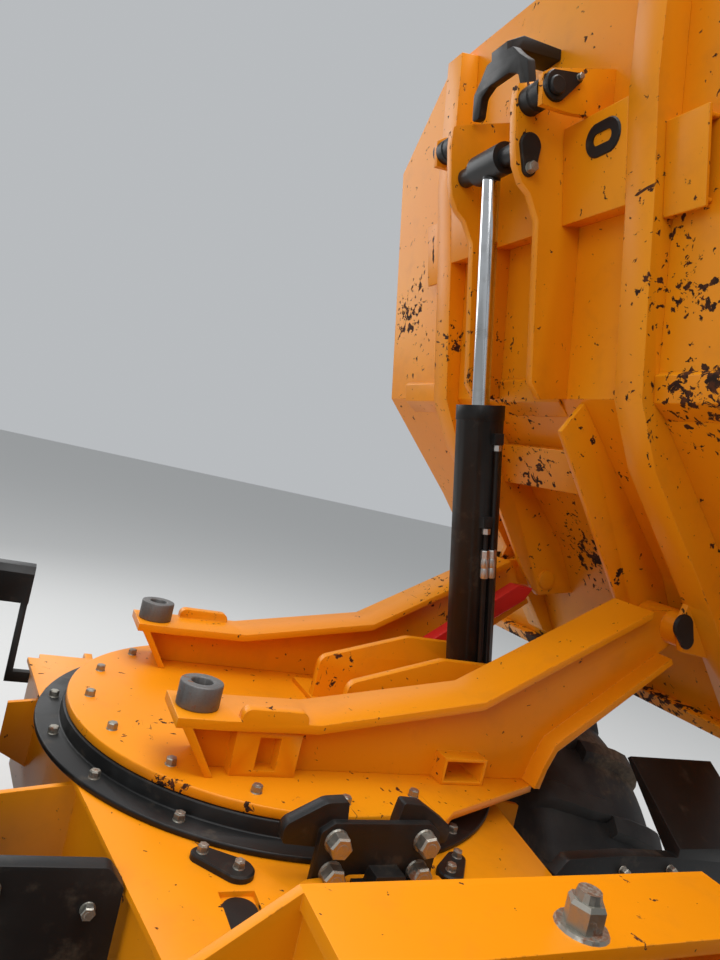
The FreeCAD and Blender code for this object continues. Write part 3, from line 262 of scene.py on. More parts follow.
def painted_steel(name, fresh, faded, chips, edge_chips=0.5, patches=(), hollow=None):
    """Paint over steel: faded and dusty in patches, chipped to rust in clusters and along edges."""
    gloss, chip_gloss = 0.36, 0.82
    finish = Finish(name, roughness=gloss, shine=0.22)
    color = finish.mixed(finish.step(finish.noise(1.3), 0.35, 0.7), fresh, faded)
    dusty = finish.times(finish.step(finish.noise(9.0, 5.0, 0.62), 0.5, 0.74), 0.3)
    color = finish.mixed(dusty, color, tuple(0.72 * f + 0.012 for f in fresh))

    specks = finish.noise(46.0, 6.0, 0.58, distortion=0.4)
    flakes = finish.noise(17.0, 6.0, 0.64, distortion=0.9)
    where = finish.noise(2.6, 4.0, 0.6)
    specks = finish.plus(specks, finish.times(finish.step(where, 0.52, 0.76), 0.16 * chips))
    specks = finish.plus(specks, 0.03 * chips)
    for centre, reach, strength in patches:
        patch = finish.times(finish.near(centre, reach), strength)
        specks = finish.plus(specks, patch)
        flakes = finish.plus(flakes, patch)
    pitted = finish.most(finish.step(specks, 0.705, 0.725), finish.step(flakes, 0.70, 0.712))

    scratch = finish.noise(15.0, 3.0, 0.5, finish.stretched((0.35, 5.0, 1.1)), 1.2)
    scratched = finish.times(finish.step(scratch, 0.69, 0.7), finish.step(where, 0.57, 0.62))
    chipped = finish.most(pitted, finish.times(scratched, min(1.0, chips)))
    ragged = finish.step(finish.noise(38.0, 5.0, 0.65), 0.56, 0.6)
    worn_edge = finish.times(finish.times(finish.edges(0.004, 0.03, 0.12), ragged), edge_chips)
    chipped = finish.most(chipped, worn_edge)
    rust = finish.mixed(finish.step(finish.noise(70.0, 4.0), 0.35, 0.65), RUST_DARK, RUST)
    color = finish.mixed(chipped, color, rust)
    rough = finish.mixed_value(chipped, gloss, chip_gloss)
    if hollow:
        color, rough = scoured_inside(finish, color, rough, *hollow)
    orange_peel = finish.height(finish.noise(140.0, 2.0), 0.0004, 0.25)
    return finish.wear(color, rough, normal=finish.height(finish.without(pitted), 0.0007, 0.8, orange_peel))


def black_paint(name, dust=0.5, gloss=0.42):
    """Black paint or moulding, dusty in patches and greyed along its edges."""
    finish = Finish(name, roughness=gloss, shine=0.32)
    cloudy = finish.step(finish.noise(5.0, 6.0, 0.62), 0.42, 0.78)
    dusty = finish.times(finish.step(finish.noise(17.0, 6.0, 0.65), 0.55, 0.8), dust)
    color = finish.mixed(dusty, finish.mixed(cloudy, BLACK, BLACK_FADED), DUST)
    color = finish.mixed(finish.times(finish.edges(0.003, 0.03, 0.2), 0.25), color, BLACK_WORN)
    rough = finish.mixed_value(finish.most(dusty, cloudy), gloss, gloss + 0.3)
    return finish.wear(color, rough, normal=finish.height(finish.noise(180.0, 2.0), 0.0003, 0.3))


def bare_metal(name, base, gloss, rusted, metallic=1.0):
    """Steel with a brushed grain and rust in spots."""
    finish = Finish(name, roughness=gloss, metallic=metallic)
    rusty = finish.step(finish.noise(32.0, 6.0, 0.65), 0.72 - 0.4 * rusted, 0.78 - 0.3 * rusted)
    grain = finish.step(finish.noise(220.0, 3.0, 0.6), 0.3, 0.9)
    rough = finish.mixed_value(finish.most(rusty, grain), gloss, gloss + 0.35)
    metal = finish.times(finish.without(rusty), metallic)
    return finish.wear(finish.mixed(rusty, base, SPOT_RUST), rough, metal, finish.height(rusty, 0.0005, 0.6))


def chromed_rod(name, eye, eye_reach):
    """Chrome under an oil film, with a black painted eye at the rod's end."""
    finish = Finish(name, roughness=0.12, metallic=1.0)
    film = finish.step(finish.noise(14.0, 5.0, 0.6), 0.5, 0.8)
    painted = finish.near(eye, (1.0, eye_reach, eye_reach), 0.02)
    color = finish.mixed(painted, finish.mixed(film, CHROME, CHROME_OILED), EYE_BLACK)
    rough = finish.mixed(painted, finish.mixed_value(film, 0.10, 0.26), (0.42, 0.42, 0.42))
    return finish.wear(color, rough, finish.without(painted))


def tyre_rubber(name):
    """Rubber with dried mud in patches."""
    finish = Finish(name, roughness=0.8)
    worn = finish.mixed(finish.step(finish.noise(7.0, 5.0), 0.35, 0.7), TYRE, TYRE_GREY)
    muddy = finish.step(finish.noise(4.2, 7.0, 0.66), 0.50, 0.66)
    mud = finish.mixed(finish.step(finish.noise(60.0, 5.0, 0.7), 0.35, 0.7), MUD, MUD_DRY)
    color = finish.mixed(finish.times(muddy, 0.8), worn, mud)
    rough = finish.mixed_value(muddy, 0.66, 0.95)
    return finish.wear(color, rough, normal=finish.height(finish.noise(55.0, 6.0, 0.7), 0.0018, 0.6))


def moulding(name, base, lighter):
    """Plastic with a fine grain, greyed in patches."""
    finish = Finish(name, roughness=0.75)
    patch = finish.step(finish.noise(30.0, 6.0, 0.6), 0.4, 0.7)
    return finish.wear(finish.mixed(patch, base, lighter), finish.mixed_value(patch, 0.6, 0.9),
                       normal=finish.height(finish.noise(120.0, 4.0), 0.0006, 0.5))


def lens(name, tint):
    """Ribbed glass with some dirt."""
    finish = Finish(name, roughness=0.12)
    finish.feed(finish.shader.inputs["Transmission Weight"], 0.35)
    ribs = finish.add("ShaderNodeTexWave", {"Vector": finish.place, "Scale": 40.0}, bands_direction="Z")
    dirt = finish.step(finish.noise(20.0, 4.0), 0.45, 0.75)
    color = finish.mixed(dirt, tint, tuple(0.6 * t + 0.04 for t in tint))
    return finish.wear(color, finish.mixed_value(dirt, 0.1, 0.4),
                       normal=finish.height(ribs.outputs["Fac"], 0.0008, 0.5))


def seat_vinyl(name):
    """Vinyl with a leather grain, worn paler in patches."""
    finish = Finish(name, roughness=0.55)
    grain = finish.add("ShaderNodeTexVoronoi", {"Vector": finish.place, "Scale": 420.0},
                       feature="DISTANCE_TO_EDGE")
    polished = finish.step(finish.noise(6.0, 4.0), 0.4, 0.75)
    cells = finish.step(grain.outputs["Distance"], 0.0, 0.12)
    return finish.wear(finish.mixed(polished, VINYL, VINYL_WORN), finish.mixed_value(polished, 0.62, 0.42),
                       normal=finish.height(cells, 0.0004, 0.5))


# Places on the lowered skip and the table that have lost the most paint: place, reach and strength

SKIP_WEAR = [(on_skip(*place), reach, strength) for place, reach, strength in (
    ((0.090, -0.520, 0.200), (0.16, 0.20, 0.10), 0.10),
    ((0.330, -0.560, 0.150), (0.22, 0.25, 0.22), 0.14),
    ((0.330, 0.120, 0.120), (0.26, 0.22, 0.20), 0.15),
    ((0.560, 0.050, 0.220), (0.24, 0.30, 0.20), 0.15),
    ((0.800, 0.050, 0.440), (0.20, 0.30, 0.20), 0.17),
    ((0.780, -0.222, 0.330), (0.05, 0.03, 0.05), 0.25),
    ((-0.440, 0.150, 0.050), (0.05, 0.05, 0.07), 0.14),
    ((-0.440, -0.150, 0.050), (0.04, 0.05, 0.05), 0.12),
    ((0.870, -0.400, 0.370), (0.06, 0.07, 0.07), 0.13),
    ((-0.190, 0.530, 0.192), (0.012, 0.03, 0.08), 0.30),
    ((-0.050, 0.250, 0.160), (0.10, 0.10, 0.12), 0.10),
)]
TABLE_WEAR = [(on_table(*place), reach, strength) for place, reach, strength in (
    ((-0.145, -0.355, 0.130), (0.02, 0.075, 0.022), 0.22),
    ((-0.470, -0.180, -0.010), (0.06, 0.02, 0.03), 0.20),
    ((-0.330, -0.380, -0.010), (0.05, 0.05, 0.03), 0.20),
    ((-0.200, -0.462, -0.010), (0.03, 0.04, 0.03), 0.20),
    ((-0.245, -0.656, -0.066), (0.055, 0.045, 0.016), 0.24),
    ((0.200, -0.930, 0.140), (0.06, 0.20, 0.05), 0.10),
    ((0.620, -1.050, 0.110), (0.10, 0.20, 0.07), 0.16),
    ((0.300, -0.302, 0.040), (0.10, 0.10, 0.05), 0.06),
)]
SKIP_MIDDLE, SKIP_FLOOR = on_skip(0.40, 0.0, 0.75), on_skip(0.45, 0.0, 0.25)
SCOUR_REACH = (1.00, 0.90, 1.30)


def amber_steel(name, chips, edge_chips=0.5, **wear):
    return painted_steel(name, AMBER, AMBER_FADED, chips, edge_chips, **wear)


FINISHES = {
    "orange_paint": amber_steel("machine_paint", 0.75, patches=TABLE_WEAR),
    "skip_paint": amber_steel("skip_paint", 1.15, 0.9, patches=SKIP_WEAR),
    "shell_paint": amber_steel("shell_paint", 1.15, 0.9, patches=SKIP_WEAR,
                               hollow=(SKIP_MIDDLE, SKIP_FLOOR, SCOUR_REACH)),
    "lip_paint": amber_steel("lip_paint", 3.2, 1.0),
    "black_paint": black_paint("black_paint"),
    "bare_steel": bare_metal("worn_steel", (0.30, 0.28, 0.26), 0.42, 0.5),
    "bolt_steel": bare_metal("zinc_bolts", (0.36, 0.345, 0.30), 0.40, 0.36),
    "chromed_rod": chromed_rod("chromed_rod", ROD_EYE, 0.047),
    "ferrule_steel": bare_metal("ferrule_steel", (0.50, 0.49, 0.47), 0.3, 0.15),
    "red_paint": painted_steel("prop_paint", RED, RED_FADED, 0.4),
    "buffer_steel": bare_metal("buffer_steel", (0.17, 0.165, 0.16), 0.5, 0.35, 0.7),
    "rim_paint": amber_steel("rim_paint", 1.1, 0.8),
    "tyre_rubber": tyre_rubber("tyre_rubber"),
    "seat_vinyl": seat_vinyl("seat_vinyl"),
    "lamp_housing": black_paint("lamp_housing", 0.3, 0.5),
    "clear_glass": lens("headlamp_glass", (0.62, 0.65, 0.68)),
    "red_lens": lens("rear_lamp_lens", (0.55, 0.012, 0.01)),
    "amber_lens": lens("beacon_lens", (0.95, 0.30, 0.01)),
    "engine_iron": bare_metal("engine_iron", (0.09, 0.09, 0.09), 0.6, 0.3, 0.6),
    "wheel_plastic": moulding("wheel_plastic", (0.014, 0.014, 0.015), (0.03, 0.03, 0.03)),
}
SKIP_FINISHES = {"skip_rim": "lip_paint", "skip_shell": "shell_paint"}
for node, slot in slots.items():
    finish = slot
    if node.startswith("skip_") and slot == "orange_paint":
        finish = SKIP_FINISHES.get(node, "skip_paint")
    nodes[node].data.materials.clear()
    nodes[node].data.materials.append(FINISHES[finish])


# Pieces made here

def placed(name, data):
    """A new object in the scene, at the origin."""
    made = bpy.data.objects.new(name, data)
    bpy.context.scene.collection.objects.link(made)
    return made


def piece_of(name, mesh, body):
    """A mesh as a piece that rides a body."""
    piece = placed(name, mesh)
    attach(piece, body)
    return piece


def mesh_of(bm, name, material):
    mesh = bpy.data.meshes.new(name)
    bm.to_mesh(mesh)
    bm.free()
    mesh.materials.append(material)
    return mesh


def piece_from(bm, name, body, slot, finish=None):
    """A piece from a bmesh whose faces are turned outward first."""
    bmesh.ops.recalc_face_normals(bm, faces=bm.faces)
    return piece_of(name, mesh_of(bm, name, FINISHES[finish or slot]), body)


def evaluated(thing):
    return thing.evaluated_get(bpy.context.evaluated_depsgraph_get())


def evaluated_mesh(thing, name):
    """What an object's modifiers or curve make, as a plain mesh. The object is removed."""
    made = bpy.data.meshes.new_from_object(evaluated(thing))
    made.name = name
    bpy.data.objects.remove(thing)
    return made


ROUNDED = {
    "front_chassis": 0.004, "turntable": 0.003, "arm_left": 0.003, "arm_right": 0.003,
    "ram_bridge": 0.0025, "bulkhead": 0.003, "slew_clamp": 0.004, "slew_ring": 0.003,
    "skip_rails": 0.003, "skip_beams": 0.003, "skip_gussets": 0.004, "skip_hinges": 0.003,
    "skip_latch": 0.005, "skip_rim": 0.004, "safety_prop": 0.003, "front_guards": 0.005,
    "headlamps": 0.004, "ram_barrel": 0.003, "buffers": 0.003, "rear_chassis": 0.004,
    "engine_hood": 0.004, "counterweight": 0.006, "fuel_tank": 0.006, "oil_tank": 0.006,
    "console": 0.005, "roll_frame": 0.006, "rear_mudguards": 0.003, "floors_and_steps": 0.002,
    "seat_base": 0.004, "rear_lamps": 0.003,
}
SAME_POINT, SAME_PLANE, SHARP = 0.00002, math.radians(1.0), math.radians(35)


def round_edges(node, width):
    """A copy of a CAD node with its sharp edges rounded, in the node's place."""
    source = nodes[node].data
    bm = bmesh.new()
    bm.from_mesh(source)
    bmesh.ops.remove_doubles(bm, verts=bm.verts, dist=SAME_POINT)
    bmesh.ops.dissolve_limit(bm, angle_limit=SAME_PLANE, verts=bm.verts, edges=bm.edges)
    mesh = mesh_of(bm, node + "_rounded", source.materials[0])
    for polygon in mesh.polygons:
        polygon.use_smooth = True
    piece = piece_of(node + "_rounded", mesh, nodes[node]["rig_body"])
    bevel = piece.modifiers.new("edges", "BEVEL")
    bevel.width = width
    bevel.segments = 2
    bevel.limit_method = "ANGLE"
    bevel.angle_limit = SHARP
    bevel.harden_normals = True
    bevel.use_clamp_overlap = True
    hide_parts(node)
    return piece


rounded = {node: round_edges(node, width) for node, width in ROUNDED.items()}

# The gland's bore is drawn a little wide, so that the sliding rod doesn't cut its flat facets

GLAND_LOW, GLAND_RADIUS, GLAND_ROOM = 0.60, 0.026, 0.0006
for vertex in rounded["ram_barrel"].data.vertices:
    height = (vertex.co - RAM_FOOT).dot(RAM_UP)
    away = vertex.co - RAM_FOOT - RAM_UP * height
    if height > GLAND_LOW and away.length < GLAND_RADIUS:
        vertex.co += away.normalized() * GLAND_ROOM


# Bolts: a hexagon head or nut on a washer, set on points by Geometry Nodes

BOLT_SIZES = (("Across flats", 1.0), ("Head height", 0.65), ("Washer radius", 0.61),
              ("Washer height", 0.10), ("Stud radius", 0.30), ("Stud height", 0.02))
CHAMFER, CHAMFERED, WASHER_EDGE = 0.18, 0.86, 0.93


def bolt_tree():
    """Sets a bolt on each point, turned to its facing and scaled by its size."""
    tree = bpy.data.node_groups.new("bolts_on_points", "GeometryNodeTree")
    face = tree.interface
    face.new_socket("Points", in_out="INPUT", socket_type="NodeSocketGeometry")
    for label, value in BOLT_SIZES:
        face.new_socket(label, in_out="INPUT", socket_type="NodeSocketFloat").default_value = value
    face.new_socket("Seed", in_out="INPUT", socket_type="NodeSocketInt").default_value = 7
    face.new_socket("Finish", in_out="INPUT", socket_type="NodeSocketMaterial")
    face.new_socket("Bolts", in_out="OUTPUT", socket_type="NodeSocketGeometry")
    wiring = Wiring(tree)
    sizes = wiring.add("NodeGroupInput").outputs

    def times(first, second):
        return wiring.maths("MULTIPLY", first, second, clamped=False)

    def plus(first, second):
        return wiring.maths("ADD", first, second, clamped=False)

    def named(label, kind):
        node = wiring.add("GeometryNodeInputNamedAttribute", {"Name": label}, data_type=kind)
        return next(o for o in node.outputs if o.type == ("VALUE" if kind == "FLOAT" else "VECTOR"))

    def disc(sides, low_radius, high_radius, height, base):
        """A flat-ended cone of so many sides, standing at a height above the point."""
        cone = wiring.add("GeometryNodeMeshCone", {
            "Vertices": sides, "Radius Top": high_radius, "Radius Bottom": low_radius, "Depth": height})
        offset = wiring.add("ShaderNodeCombineXYZ", {"Z": base}).outputs["Vector"]
        lifted = wiring.add("GeometryNodeTransform", {
            "Geometry": cone.outputs["Mesh"], "Translation": offset})
        return lifted.outputs["Geometry"]

    corner = times(sizes["Across flats"], 0.5 / math.cos(math.radians(30)))
    straight = times(sizes["Head height"], 1.0 - CHAMFER)
    shoulder = plus(sizes["Washer height"], straight)
    top = plus(sizes["Washer height"], sizes["Head height"])
    bolt = wiring.add("GeometryNodeJoinGeometry")
    for piece in (
        disc(20, sizes["Washer radius"], times(sizes["Washer radius"], WASHER_EDGE),
             sizes["Washer height"], 0.0),
        disc(6, corner, corner, straight, sizes["Washer height"]),
        disc(6, corner, times(corner, CHAMFERED), times(sizes["Head height"], CHAMFER), shoulder),
        disc(14, sizes["Stud radius"], times(sizes["Stud radius"], CHAMFERED), sizes["Stud height"], top),
    ):
        wiring.feed(bolt.inputs["Geometry"], piece)
    aligned = wiring.add("FunctionNodeAlignRotationToVector", {"Vector": named("facing", "FLOAT_VECTOR")},
                         axis="Z")
    spin = wiring.add("FunctionNodeRandomValue", {"Seed": sizes["Seed"]}, data_type="FLOAT")
    wiring.feed(next(i for i in spin.inputs if i.name == "Max" and i.type == "VALUE"), math.tau)
    spun = wiring.add("FunctionNodeAxisAngleToRotation", {
        "Axis": UP, "Angle": next(o for o in spin.outputs if o.type == "VALUE")})
    turned = wiring.add("FunctionNodeRotateRotation", {
        "Rotation": aligned.outputs["Rotation"], "Rotate By": spun.outputs["Rotation"]},
        rotation_space="LOCAL")
    set_out = wiring.add("GeometryNodeInstanceOnPoints", {
        "Points": sizes["Points"], "Instance": bolt.outputs["Geometry"],
        "Rotation": turned.outputs["Rotation"], "Scale": named("size", "FLOAT")})
    real = wiring.add("GeometryNodeRealizeInstances", {"Geometry": set_out.outputs["Instances"]})
    finish = wiring.add("GeometryNodeSetMaterial", {
        "Geometry": real.outputs["Geometry"], "Material": sizes["Finish"]})
    wiring.add("NodeGroupOutput", {"Bolts": finish.outputs["Geometry"]})
    return tree


BOLTS = bolt_tree()


def bolts(name, body, rows, **sizes):
    """One mesh of bolts from rows of place, facing and width across flats. Sizes are shares of it."""
    mesh = bpy.data.meshes.new(name + "_points")
    mesh.from_pydata([tuple(place) for place, facing, flats in rows], [], [])
    mesh.attributes.new("facing", "FLOAT_VECTOR", "POINT")
    mesh.attributes.new("size", "FLOAT", "POINT")
    for number, (place, facing, flats) in enumerate(rows):
        mesh.attributes["facing"].data[number].vector = Vector(facing).normalized()
        mesh.attributes["size"].data[number].value = flats
    holder = placed(name + "_points", mesh)
    modifier = holder.modifiers.new("bolts", "NODES")
    modifier.node_group = BOLTS
    settings = {key.replace("_", " ").capitalize(): value for key, value in sizes.items()}
    settings["Finish"] = FINISHES["bolt_steel"]
    for socket in BOLTS.interface.items_tree:
        if socket.in_out == "INPUT" and socket.name in settings:
            modifier[socket.identifier] = settings[socket.name]
    return piece_of(name, evaluated_mesh(holder, name), body)


# Bolts of the turntable, its flange and its clamp, with their widths across the flats

M10, M12, M16, M20, M24, M27 = 0.017, 0.019, 0.024, 0.030, 0.036, 0.041
TABLE_BOLT_RING, FLANGE_BOLT_RING = 0.450, 0.526
FLANGE_TOP, DECK_TOP, CLAMP_FACE = -0.050, -0.062, -0.606


def round_table(ring, degrees, up):
    """A place on a ring about the slewing axis, so many degrees from the arms to their left."""
    return on_table(ring * math.cos(math.radians(degrees)), ring * math.sin(math.radians(degrees)), up)


# The bolt at 135 degrees stands a little outside the ring of the others

bolts("table_bolts", "table", [
    (round_table(TABLE_BOLT_RING * (1.012 if step == 6 else 1.0), 22.5 * step, 0), UP, M12)
    for step in range(3, 14)])
bolts("flange_bolts", "front", [
    (round_table(FLANGE_BOLT_RING, degrees, FLANGE_TOP), UP, M12)
    for degrees in (168, 190, 212, 234, 299, 321, 343, 5, 27, 49, 71, 93, 115, 137)])
bolts("clamp_bolts", "front", [
    (on_table(out, CLAMP_FACE, up), BACK, M24)
    for out, up in ((-0.087, 0.015), (0.087, 0.015), (-0.085, -0.040), (0.085, -0.040))])


# Black keeper plates with their bolts, and a black sheet of painted shade in the deck's slot

STRAIGHT_EDGE, TOP_SHARE = 0.75, 0.94


def bridge(bm, first, second):
    """Faces between two rings of as many points."""
    count = len(first)
    for i in range(count):
        j = (i + 1) % count
        bm.faces.new((first[i], first[j], second[j], second[i]))


def keeper_plate(name, body, first, second, radii, normal, thickness):
    """A plate round two bolts, with a chamfered edge."""
    along = (second - first).normalized()
    across = normal.cross(along)
    outline = []
    for centre, radius, start in ((first, radii[0], 90), (second, radii[1], -90)):
        for step in range(13):
            angle = math.radians(start + 15 * step)
            outline.append(centre + along * (radius * math.cos(angle)) + across * (radius * math.sin(angle)))
    bm = bmesh.new()
    low = [bm.verts.new(point) for point in outline]
    middle = sum(outline, Vector()) / len(outline)
    side = [bm.verts.new(point + normal * thickness * STRAIGHT_EDGE) for point in outline]
    top = [bm.verts.new(middle + (point - middle) * TOP_SHARE + normal * thickness) for point in outline]
    bm.faces.new(reversed(low))
    bm.faces.new(top)
    bridge(bm, low, side)
    bridge(bm, side, top)
    return piece_from(bm, name, body, "black_paint")


KEEPER, SLOT_DEPTH, SLOT_PAINTED_SHADE_THICKNESS = 0.012, 0.010, 0.0015
DECK_KEEPERS = (
    ("deck_keeper_left", (-0.286, -0.523), (-0.234, -0.569), (0.019, 0.028)),
    ("deck_keeper_right", (0.212, -0.548), (0.172, -0.590), (0.019, 0.026)),
)
keeper_rows = []
for name, first, second, radii in DECK_KEEPERS:
    keeper_plate(name, "front", on_table(*first, DECK_TOP), on_table(*second, DECK_TOP), radii, UP, KEEPER)
    for out, side in (first, second):
        keeper_rows.append((on_table(out, side, DECK_TOP + KEEPER), UP, M10))
bolts("deck_keeper_bolts", "front", keeper_rows)
# A thin black oval sheet on the floor of the deck's slot is painted shade: it stands for the dark inside of
# the slot, not for a part
keeper_plate("deck_slot_painted_shade", "front", on_table(-0.246, -0.670, DECK_TOP - SLOT_DEPTH),
             on_table(-0.246, -0.642, DECK_TOP - SLOT_DEPTH), (0.0285, 0.0285), UP, SLOT_PAINTED_SHADE_THICKNESS)
bolts("pivot_nut", "front", [(on_machine(-1.056, 0.0, AXIS.z + 0.177), UP, M27)], washer_radius=0.80,
      head_height=0.74, stud_radius=0.40, stud_height=0.26)


# Turned pieces

def smooth(piece, degrees=32):
    """Smooth shading, but for edges sharper than so many degrees."""
    piece.data.shade_smooth()
    piece.data.set_sharp_from_angle(angle=math.radians(degrees))


def turned_piece(name, body, slot, foot, along, profile, sides=32, finish=None):
    """A profile of distance along and radius, turned about an axis from its foot."""
    along = Vector(along).normalized()
    across = along.orthogonal().normalized()
    other = along.cross(across)
    bm = bmesh.new()
    rings = []
    for height, radius in profile:
        centre = foot + along * height
        if radius == 0:
            rings.append([bm.verts.new(centre)])
            continue
        rings.append([bm.verts.new(centre + across * (radius * math.cos(math.tau * i / sides))
                                   + other * (radius * math.sin(math.tau * i / sides)))
                      for i in range(sides)])
    for low, high in zip(rings, rings[1:]):
        for i in range(sides):
            j = (i + 1) % sides
            corners = [low[i % len(low)], low[j % len(low)], high[j % len(high)], high[i % len(high)]]
            bm.faces.new(dict.fromkeys(corners))
    if profile[0] == profile[-1]:
        bmesh.ops.remove_doubles(bm, verts=bm.verts, dist=0.00001)
    else:
        for ring in (rings[0], rings[-1]):
            if len(ring) > 1:
                bm.faces.new(ring)
    piece = piece_from(bm, name, body, slot, finish)
    smooth(piece)
    return piece


# Keepers, levers and sleeves of the skip's pins, and slots in its beams

SKIP_OUT = turned_with_skip(1, 0, 0)
SKIP_UNDER = turned_with_skip(0, 0, -1)
GUSSET_FACE, EAR_FACE, RAIL_FACE, BEAM_FACE = 0.160, 0.248, 0.394, 0.166
SLOT_HALF, SLOT_ROUND, SLOT_BAND, SLOT_RIM = 0.017, 0.014, 0.026, 0.004
LEVER_SCREW = 0.014
PIN_END = [(0, 0.021), (0.009, 0.021), (0.012, 0.018), (0.012, 0.0)]
PIN_SLEEVE = [(0, 0.0285), (0, 0.033), (0.030, 0.033), (0.033, 0.0305), (0.040, 0.0305),
              (0.043, 0.033), (0.071, 0.033), (0.071, 0.0285), (0, 0.0285)]


def slot_rim(name, place):
    """A black oval rim on the face of a beam."""
    bm = bmesh.new()
    centre = on_skip(*place)

    def oval(radius, lift):
        points = []
        for step in range(24):
            angle = math.tau * step / 24
            shift = SLOT_HALF if math.cos(angle) > 0 else -SLOT_HALF
            points.append(bm.verts.new(centre + AHEAD * (shift + radius * math.cos(angle))
                                       + SKIP_OUT * (radius * math.sin(angle)) + SKIP_UNDER * lift))
        return points

    edge = oval(SLOT_ROUND + SLOT_BAND, 0.0)
    top = oval(SLOT_ROUND + SLOT_BAND - 0.003, SLOT_RIM)
    inner = oval(SLOT_ROUND, SLOT_RIM)
    base = oval(SLOT_ROUND, 0.0)
    for low, high in ((edge, top), (top, inner), (inner, base), (base, edge)):
        bridge(bm, low, high)
    return piece_from(bm, name, "skip", "black_paint")


pin_rows = []
for side, word in SIDES:
    outward = AHEAD * side
    keeper_plate("rod_pin_keeper_" + word, "skip", on_skip(-0.300, GUSSET_FACE * side, 0.064),
                 on_skip(-0.246, GUSSET_FACE * side, 0.061), (0.030, 0.019), outward, 0.010)
    pin_rows.append((on_skip(-0.246, (GUSSET_FACE + 0.010) * side, 0.061), outward, M16))
    keeper_plate("upper_pin_lever_" + word, "skip", on_skip(-0.404, EAR_FACE * side, 0.068),
                 on_skip(-0.428, EAR_FACE * side, 0.128), (0.035, 0.012), outward, 0.012)
    pin_rows.append((on_skip(-0.428, (EAR_FACE + 0.012) * side, 0.128), outward, LEVER_SCREW))
    turned_piece("upper_pin_end_" + word, "skip", "black_paint",
                 on_skip(-0.400, (EAR_FACE + 0.010) * side, 0.062), outward, PIN_END)
    turned_piece("upper_pin_sleeve_" + word, "skip", "black_paint",
                 on_skip(-0.400, (GUSSET_FACE + 0.0005) * side, 0.062), outward, PIN_SLEEVE)
    keeper_plate("hinge_keeper_" + word, "skip", on_skip(0.876, RAIL_FACE * side, 0.378),
                 on_skip(0.917, RAIL_FACE * side, 0.393), (0.031, 0.020), outward, 0.009)
    slot_rim("beam_slot_" + word, (-0.288, 0.300 * side, BEAM_FACE))
bolts("skip_pin_bolts", "skip", pin_rows)

# Steel ferrules and nuts of the ram's two hoses

HOSE_SIDE = -0.072
FERRULE = [(0, 0.0075), (0, 0.0102), (0.004, 0.0112), (0.024, 0.0112), (0.028, 0.0100),
           (0.032, 0.0112), (0.050, 0.0112), (0.054, 0.0100), (0.054, 0.0065), (0, 0.0075)]
HOSE_NUT = [(0, 0.0065), (0, 0.0125), (0.020, 0.0125), (0.022, 0.0110), (0.022, 0.0065), (0, 0.0065)]
PORT_NUT = [(0, 0.0062), (0, 0.0115), (0.015, 0.0115), (0.015, 0.0062), (0, 0.0062)]
for word, out, port in (("low", -0.011, 0.442), ("high", 0.011, 0.664)):
    for name, along, profile, sides in (
            ("hose_ferrule_", 0.306, FERRULE, 24), ("hose_nut_", 0.360, HOSE_NUT, 6),
            ("port_nut_", port - 0.016, PORT_NUT, 6)):
        turned_piece(name + word, "ram_barrel", "bare_steel", on_ram(out, HOSE_SIDE, along), RAM_UP,
                     profile, sides, "ferrule_steel")


# Wheels: round tyres with deep slanting lugs, and wheel nuts

TYRE_HALF, TYRE_TIP = 0.1995, 0.5315
TYRE_SIDES, LUGS = 90, 15
LUG_HALF, LUG_FOOT, LUG_CHAMFER = 0.024, 0.010, 0.007

# Radius and distance from the tyre's middle, and for the lugs that distance with the radius of tip and foot

CARCASS = [(0.2545, 0.150), (0.2545, 0.168), (0.268, 0.176), (0.283, 0.180), (0.290, 0.187),
           (0.300, 0.186), (0.340, 0.194), (0.352, 0.1985), (0.362, 0.196), (0.400, 0.1985),
           (0.440, 0.195), (0.468, 0.184), (0.487, 0.160), (0.497, 0.110), (0.500, 0.050), (0.501, 0.0)]
LUG_STATIONS = [(0.003, 0.5305, 0.490), (0.060, 0.5315, 0.490), (0.120, 0.5305, 0.486),
                (0.155, 0.525, 0.478), (0.178, 0.508, 0.462), (0.192, 0.482, 0.448),
                (0.1990, 0.452, 0.436)]


def middle_of(node):
    low, high = (Vector(corner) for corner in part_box(node))
    return (low + high) / 2


def tyre(name, node):
    """A carcass turned about the axle, with two staggered rows of curved lugs."""
    centre = middle_of(node)
    lean = 1 if "left" in node else -1
    bm = bmesh.new()
    profile = CARCASS + [(radius, -across) for radius, across in reversed(CARCASS[:-1])]

    def at(angle, radius, across):
        return centre + Vector((radius * math.sin(angle), across, radius * math.cos(angle)))

    rings = [[bm.verts.new(at(math.tau * i / TYRE_SIDES, radius, across)) for i in range(TYRE_SIDES)]
             for radius, across in profile]
    for first, second in zip(rings, rings[1:] + rings[:1]):
        bridge(bm, first, second)
    for row in (1, -1):
        for number in range(LUGS):
            middle = math.tau * (number + 0.25 * row) / LUGS
            before = None
            for across, top, foot in LUG_STATIONS:
                share = across / TYRE_HALF
                shift = lean * row * (0.036 - 0.066 * share ** 1.4)
                half = LUG_HALF + 0.008 * share
                section = []
                for offset, radius in ((-half - LUG_FOOT, foot), (-half - 0.001, top - LUG_CHAMFER),
                                       (-half + 0.006, top), (half - 0.006, top),
                                       (half + 0.001, top - LUG_CHAMFER), (half + LUG_FOOT, foot)):
                    angle = middle + (shift + offset) / TYRE_TIP
                    section.append(bm.verts.new(at(angle, radius, across * row)))
                if before:
                    bridge(bm, before, section)
                else:
                    bm.faces.new(section)
                before = section
            bm.faces.new(reversed(before))
    piece = piece_from(bm, name, nodes[node]["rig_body"], "tyre_rubber")
    smooth(piece, 38)
    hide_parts(node)
    return piece


# Count, place of the first in steps from straight ahead, ring, distance out and width across flats

